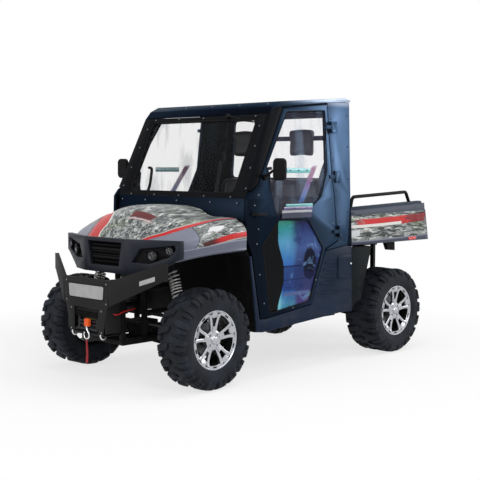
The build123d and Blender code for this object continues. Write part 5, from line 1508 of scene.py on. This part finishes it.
corners = [(x, 0.7145, z) for x, z in ((-1.279, 0.878), (-1.178, 0.878), (-1.178, 0.9), (-1.279, 0.9))]
reflector = Form().slab(corners, 0.007, 0.003, (0, 1, 0))
reflector.mirrored().put("side_reflectors", m_tail_lens, 30, "bed", "tail_red")


# ---------------------------------------------------------------- seats
def cushion(name, node, low, high, cap, channels):
    """A stuffed block: its solid's box drawn in, swollen by cloth pressure, then quilted by channels."""
    pad = Form().block((low + high) / 2, high - low, 0.22, (20, 40)).build(name, [m_vinyl], 60)
    voxels = pad.modifiers.new("voxels", "REMESH")
    voxels.mode = "VOXEL"
    voxels.voxel_size = 0.0075
    applied(pad)
    n = len(pad.data.vertices)
    rest = np.zeros(n * 3)
    pad.data.vertices.foreach_get("co", rest)
    rest = rest.reshape(-1, 3)
    cloth = pad.modifiers.new("air", "CLOTH")
    cloth.settings.use_pressure = True
    cloth.settings.uniform_pressure_force = 4
    cloth.settings.effector_weights.gravity = 0
    for step in range(1, 21):
        bpy.context.scene.frame_set(step)
    evaluated = pad.evaluated_get(bpy.context.evaluated_depsgraph_get())
    swollen = np.zeros(n * 3)
    evaluated.data.vertices.foreach_get("co", swollen)
    swollen = swollen.reshape(-1, 3)
    pad.modifiers.clear()
    bpy.context.scene.frame_set(1)
    move = swollen - rest
    far = np.linalg.norm(move, axis=1, keepdims=True)
    shape = rest + move * np.minimum(1.0, cap / np.maximum(far, 1e-9))
    channels(shape, low, high)
    pad.data.vertices.foreach_set("co", shape.ravel())
    pad.data.update()
    smooth = pad.modifiers.new("smooth", "SUBSURF")
    smooth.levels = smooth.render_levels = 1
    applied(pad)
    soften(pad.data, 60)
    settle(pad, "chassis", "seat_vinyl", node)


def seams(shape, along, places, depth, face, middle, width=0.009):
    """Sewn channels: the skin on one face sinks by a bell curve about each seam's place."""
    groove = sum(np.exp(-(((shape[:, along] - place) / width) ** 2)) for place in places)
    side = 1 / (1 + np.exp(-(shape[:, face] - middle) / 0.006))
    shape[:, face] -= depth * groove * side


def base_seams(shape, low, high):
    """Three seams across the seat's top and two along it, the underside kept above the pan."""
    middle, top = (low[1] + high[1]) / 2, (low[2] + high[2]) / 2
    seams(shape, 0, (-0.2, -0.07, 0.05), 0.007, 2, top)
    seams(shape, 1, (middle - 0.19, middle + 0.19), 0.007, 2, top)
    shape[:, 2] = np.maximum(shape[:, 2], base_low[2] + 0.0008)


def back_seams(shape, low, high):
    """Three seams across the back's front and two up it, and then the back leans to the rear."""
    middle = (low[1] + high[1]) / 2
    seams(shape, 2, (0.95, 1.08, 1.21), 0.007, 0, -0.32, 0.01)
    seams(shape, 1, (middle - 0.17, middle + 0.17), 0.007, 0, -0.32, 0.01)
    shape[:, 0] -= 0.15 * (shape[:, 2] - 0.9)


def rest_seams(shape, low, high):
    """One seam across the headrest's front."""
    seams(shape, 2, (1.634,), 0.005, 0, -0.35, 0.008)


base_low, base_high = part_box("seat_cushion")
rest_low, rest_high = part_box("headrests")
pad_rows = (
    # solid, piece, (x, z) of the low and the high corner, the left pad's y, swelling, seams, fill
    ("seat_cushion", "seat_cushion", (base_low[0] + 0.012, base_low[2] + 0.008),
     (base_high[0] - 0.012, base_high[2] - 0.014), (0.012, 0.575), 0.012, base_seams, 0.75),
    ("seat_back", "seat_back", (-0.372, 0.815), (-0.262, 1.37), (0.012, 0.57), 0.014, back_seams, 0.7),
    ("headrests", "headrest", (rest_low[0] + 0.004, rest_low[2] + 0.004),
     (rest_high[0] - 0.006, rest_high[2] - 0.004), (0.184, 0.408), 0.008, rest_seams, 0.8),
)
for node, name, (x0, z0), (x1, z1), ends, swelling, channels, fill in pad_rows:
    for side, hand in both_sides:
        y0, y1 = sorted(hand * y for y in ends)
        low, high = np.array([x0, y0, z0]), np.array([x1, y1, z1])
        cushion(f"{name}_{side}", node, low, high, swelling, channels)

# seat belts: a reel on the cage's rear leg, webbing to the seat, and a buckle
for side, hand in both_sides:
    belt = Form()
    line = [
        (-0.345, 0.56, 1.52), (-0.3, 0.545, 1.405), (-0.245, 0.53, 1.2), (-0.212, 0.52, 1.0),
        (-0.19, 0.52, 0.84), (-0.2, 0.56, 0.8),
    ]
    line = np.array(line) * (1, hand, 1)
    belt.bar(resample(line, 60), rounded_bar(0.047, 0.0025, 0.001, 3), (1, 0, 0.3))
    belt.put(f"seat_belt_{side}", m_belt, 60)
    clip = Form().block((-0.16, hand * 0.028, 0.825), (0.03, 0.022, 0.085), 0.3)
    clip.block((-0.345, hand * 0.56, 1.53), (0.05, 0.06, 0.07), 0.3)
    clip.put(f"belt_clips_{side}", m_black)


# ---------------------------------------------------------------- dash, steering wheel and pedals
hub = np.array([0.312, 0.34, 1.128])
tilt = math.radians(34)
wheel_out = np.array([-math.cos(tilt), 0, math.sin(tilt)])
a = np.linspace(0, 2 * pi, 96, endpoint=False)
b = np.linspace(0, 2 * pi, 16, endpoint=False)[None]
grip = 0.0132 + 0.0012 * np.cos(3 * a)[:, None] + 0.0006 * np.cos(40 * a)[:, None] * (np.cos(b) < 0)
wheel_radius = 0.172
out = wheel_radius + grip * np.cos(b)
ring = np.stack([out * np.cos(a)[:, None], out * np.sin(a)[:, None], grip * np.sin(b)], -1)
m = frames(hub, wheel_out)
steer = Form().grid(ring @ m[:3, :3].T + m[:3, 3], wrap_u=True, wrap_v=True)
spoke_end = 0.166
for angle in (0, pi, -pi / 2):
    t = np.linspace(0.03, spoke_end, 12)
    spin = np.array([math.cos(angle), math.sin(angle), 0])
    flat = t[:, None] * spin + np.stack([0 * t, 0 * t, -0.01 * np.cos(t / spoke_end * pi / 2)], -1)
    world_line = flat @ np.stack([[0, 1, 0], np.cross(wheel_out, [0, 1, 0]), wheel_out]) + hub
    steer.bar(world_line, rounded_bar(0.03, 0.007, 0.0025, 3), wheel_out, np.linspace(1.25, 0.85, 12))
pad = [
    (0.0, 0.016), (0.02, 0.015), (0.036, 0.01), (0.043, 0.002), (0.044, -0.012), (0.03, -0.016), (0.0, -0.017),
]
steer.turned(pad, hub, wheel_out, 40)
column_end = -0.2215
column = [(0.0, -0.01), (0.017, -0.012), (0.017, column_end), (0.0, column_end)]
steer.turned(column, hub, wheel_out, 32)
steer.put("steering_wheel_rim", m_black, 45, "steering_wheel", "black_plastic", "steering_wheel")

shroud = Form().turned([(0.022, -0.085), (0.034, -0.09), (0.04, -0.13), (0.048, -0.2)], hub, wheel_out, 32)
shroud.put("column_shroud", m_black)
pod = [(0.0, 0.004), (0.05, 0.004), (0.054, 0.01), (0.058, 0.01), (0.062, 0.002), (0.062, -0.02)]
pod_place = ((0.428, 0.34, 1.172), (-0.8, 0, 0.6), 40)
Form().turned(pod, *pod_place).put("gauge_pod", m_black)
dial = Form().turned([(0.0, 0.0052), (0.049, 0.0052)], *pod_place)
dial.put("gauge_glass", m_gauge, 40, "chassis", "glass_clear")
dash_bits, switches = Form(), Form()
vent = [(0.034, 0.0), (0.034, 0.007), (0.03, 0.009), (0.027, 0.006), (0.027, -0.004)]
for y in (-0.5, -0.06, 0.12, 0.54):
    dash_bits.turned(vent, (0.404, y, 1.06), (-1, 0, 0.08), 28)
    for k in range(5):
        line = [(0.402, y - 0.024, 1.044 + 0.008 * k), (0.401, y + 0.024, 1.044 + 0.008 * k)]
        dash_bits.bar(resample(line, 4), rounded_bar(0.004, 0.003, 0.001, 2))
for k in range(5):
    switches.block((0.4045, -0.03 + 0.045 * k - 0.09, 1.125), (0.014, 0.028, 0.046), 0.3, (10, 16))
dash_bits.put("dash_vents", m_black, 35)
switches.put("rocker_switches", m_black, 45)
stick = resample([(0.395, 0.12, 0.93), (0.35, 0.115, 0.98), (0.318, 0.11, 1.03)], 12)
lever = Form().pipe(stick, 0.006, 10, (0, 1, 0))
lever.block((0.314, 0.109, 1.04), (0.036, 0.036, 0.046), 0.6)
lever.put("gear_lever", m_black, 60)
pedals = Form()
for y, width in ((0.28, 0.075), (0.42, 0.05)):
    pedals.pipe(resample([(0.566, y, 0.66), (0.53, y, 0.58), (0.508, y, 0.5)], 10), 0.007, 8, (0, 1, 0))
    pedals.block((0.5, y, 0.488), (0.016, width, 0.062), 0.3)
pedals.put("foot_pedals", m_dark_steel, 50)
inner_mirror = Form().block((0.345, 0.0, 1.795), (0.022, 0.19, 0.052), 0.35)
inner_mirror.pipe(resample([(0.345, 0.0, 1.815), (0.338, 0.0, 1.845)], 4), 0.007, 10, (0, 1, 0))
inner_mirror.put("cab_mirror", m_black, 50)
dome = [(0.0, -0.02), (0.03, -0.019), (0.042, -0.012), (0.045, 0.0), (0.045, 0.006)]
Form().turned(dome, (-0.1, 0.0, 1.885), sides=32).put("cab_lamp", m_lamp_lens, 50, "chassis", "lamp")


# ---------------------------------------------------------------- running gear seen from below
boots = Form()
bellows = [(0.02, 0.0)]
for k in range(6):
    bellows += [(0.022 + 0.0022 * k, 0.008 + 0.01 * k), (0.028 + 0.0026 * k, 0.013 + 0.01 * k)]
bellows += [(0.036, 0.07), (0.037, 0.078), (0.035, 0.08)]
for x, joint in ((front_axle, 0.497), (rear_axle, 0.496)):
    boots.turned(bellows, (x, joint - 0.082, 0.33), (0, 1, 0), 28)
    boots.turned(bellows, (x, 0.232, 0.33), (0, -1, 0), 28)
boots.mirrored().put("shaft_boots", m_seal, 50, "chassis", "cast_metal")

ribs = Form()
for x in np.linspace(-0.82, -0.46, 10):
    for y in (0.15, -0.15):
        ribs.block((x, y, 0.52), (0.008, 0.018, 0.3), 0.3, (6, 10))
ribs.put("engine_fins", m_cast, 40, "chassis", "cast_metal")
pipe = [(-0.7, -0.12, 0.6), (-0.86, -0.1, 0.62), (-0.94, 0.02, 0.64), (-1.06, 0.1, 0.64), (-1.12, 0.12, 0.64)]
exhaust = Form().pipe(resample(pipe, 40), 0.02, 14)
box_line = [
    (0.0, 0.0), (0.06, 0.004), (0.068, 0.015), (0.068, 0.205), (0.06, 0.218), (0.022, 0.222), (0.02, 0.262),
    (0.016, 0.262), (0.016, 0.23),
]
exhaust.turned(box_line, (-1.12, 0.12, 0.64), (-1, 0, 0), 36)
exhaust.put("exhaust", m_dark_steel, 45, "chassis", "cast_metal")
skid = Form()
for x0, x1 in ((-0.85, -0.45), (0.62, 1.3)):
    line = [(x, 0.0, 0.2685) for x in np.linspace(x0, x1, 6)]
    skid.bar(line, rounded_bar(0.34, 0.003, 0.001, 2))
skid.put("skid_plates", m_black, 40, "chassis", "frame_black")
hoses = Form()
for hand in (1, -1):
    line = [
        (0.94, hand * 0.215, 0.6), (0.93, hand * 0.3, 0.62), (0.925, hand * 0.4, 0.56),
        (0.93, hand * 0.47, 0.47),
    ]
    hoses.pipe(resample(line, 24), 0.0045, 8, (1, 0, 0))
hoses.put("brake_lines", m_seal, 60)
red_wire = [
    (1.415, 0.21, 0.487), (1.39, 0.222, 0.482), (1.345, 0.222, 0.496), (1.29, 0.22, 0.504),
    (1.23, 0.205, 0.506),
]
Form().pipe(resample(red_wire, 24), 0.005, 8).put("winch_cable", m_red_plastic, 60, "chassis", "tail_red")


# ---------------------------------------------------------------- camera, lights and floor
def aim(place, yaw, pitch, roll):
    """A camera's placing: it looks along a yaw and a downward pitch, then rolls about that line."""
    look = np.array([math.cos(yaw) * math.cos(pitch), math.sin(yaw) * math.cos(pitch), -math.sin(pitch)])
    right = unit(np.cross(look, (0, 0, 1)))
    up = np.cross(right, look)
    c, s = math.cos(roll), math.sin(roll)
    right, up = c * right + s * up, c * up - s * right
    m = np.eye(4)
    m[:3, 0], m[:3, 1], m[:3, 2], m[:3, 3] = right, up, -look, place
    return Matrix(m.tolist())


camera = bpy.data.objects.new("camera", bpy.data.cameras.new("camera"))
bpy.context.scene.collection.objects.link(camera)
focal_pixels, picture_pixels = 1018.58, 480
camera_place, camera_turns = (5.577, 5.367, 1.443), (223.974, 4.0626, 0.2757)
camera.data.sensor_width = 36.0
camera.data.lens = camera.data.sensor_width * focal_pixels / picture_pixels
camera.data.clip_end = 60.0
camera.matrix_world = aim(camera_place, *map(math.radians, camera_turns))
bpy.context.scene.camera = camera
bpy.context.scene.view_settings.view_transform = "Standard"


def pale_ground(name, color, shade):
    """White to the camera and in reflections, with a share of plain diffuse that keeps the shadow."""
    f = Finish(name, base_color=color, roughness=0.9)
    white = f.node("ShaderNodeEmission", values=((1.0, 1.0, 1.0), 1.0))
    far = f.node("ShaderNodeVectorMath", {"operation": "LENGTH"}, (f.place(),), 1).step(1.7, 3.6)
    share = f.looked_at() * (shade + (1 - shade) * far)
    both = f.node("ShaderNodeMixShader", values=(share, Value(f, f.shader.outputs[0]), white))
    f.feed(f.out.inputs["Surface"], both)
    return f.material


floor_half, floor_z = 14, -0.0006
rows = np.linspace(-floor_half, floor_half, 15)
flat = np.stack([*np.meshgrid(rows, rows, indexing="ij"), np.full((15, 15), floor_z)], -1)
floor = Form().grid(flat).build("studio_floor", [pale_ground("floor_paint", (0.86, 0.86, 0.86), 0.72)])

world = bpy.data.worlds.new("studio")
bpy.context.scene.world = world
sky = Graph(world)
room = sky.node("ShaderNodeBackground", values=((1.0, 1.0, 1.0), 0.36))
white = sky.node("ShaderNodeBackground", values=((1.0, 1.0, 1.0), 1.0))
both = sky.node("ShaderNodeMixShader", values=(sky.looked_at(), room, white))
sky.node("ShaderNodeOutputWorld", values=(both,), output=None)


def softbox(name, place, target, size, power):
    """A square area lamp at a place, facing a target."""
    lamp = bpy.data.lights.new(name, "AREA")
    lamp.shape, lamp.size, lamp.energy = "SQUARE", size, power
    obj = bpy.data.objects.new(name, lamp)
    bpy.context.scene.collection.objects.link(obj)
    obj.location = place
    obj.rotation_euler = (Vector(target) - Vector(place)).to_track_quat("-Z", "Y").to_euler()


softbox("key_lamp", (3.4, 5.2, 4.6), (0.2, 0.3, 0.8), 2.6, 170)
softbox("top_lamp", (-0.4, 0.8, 5.4), (0.0, 0.0, 1.0), 3.4, 130)
softbox("front_lamp", (6.2, -1.6, 2.6), (1.0, 0.0, 0.8), 2.2, 90)
softbox("rear_lamp", (-5.2, 4.3, 2.7), (-0.4, 0.6, 1.3), 2.4, 130)
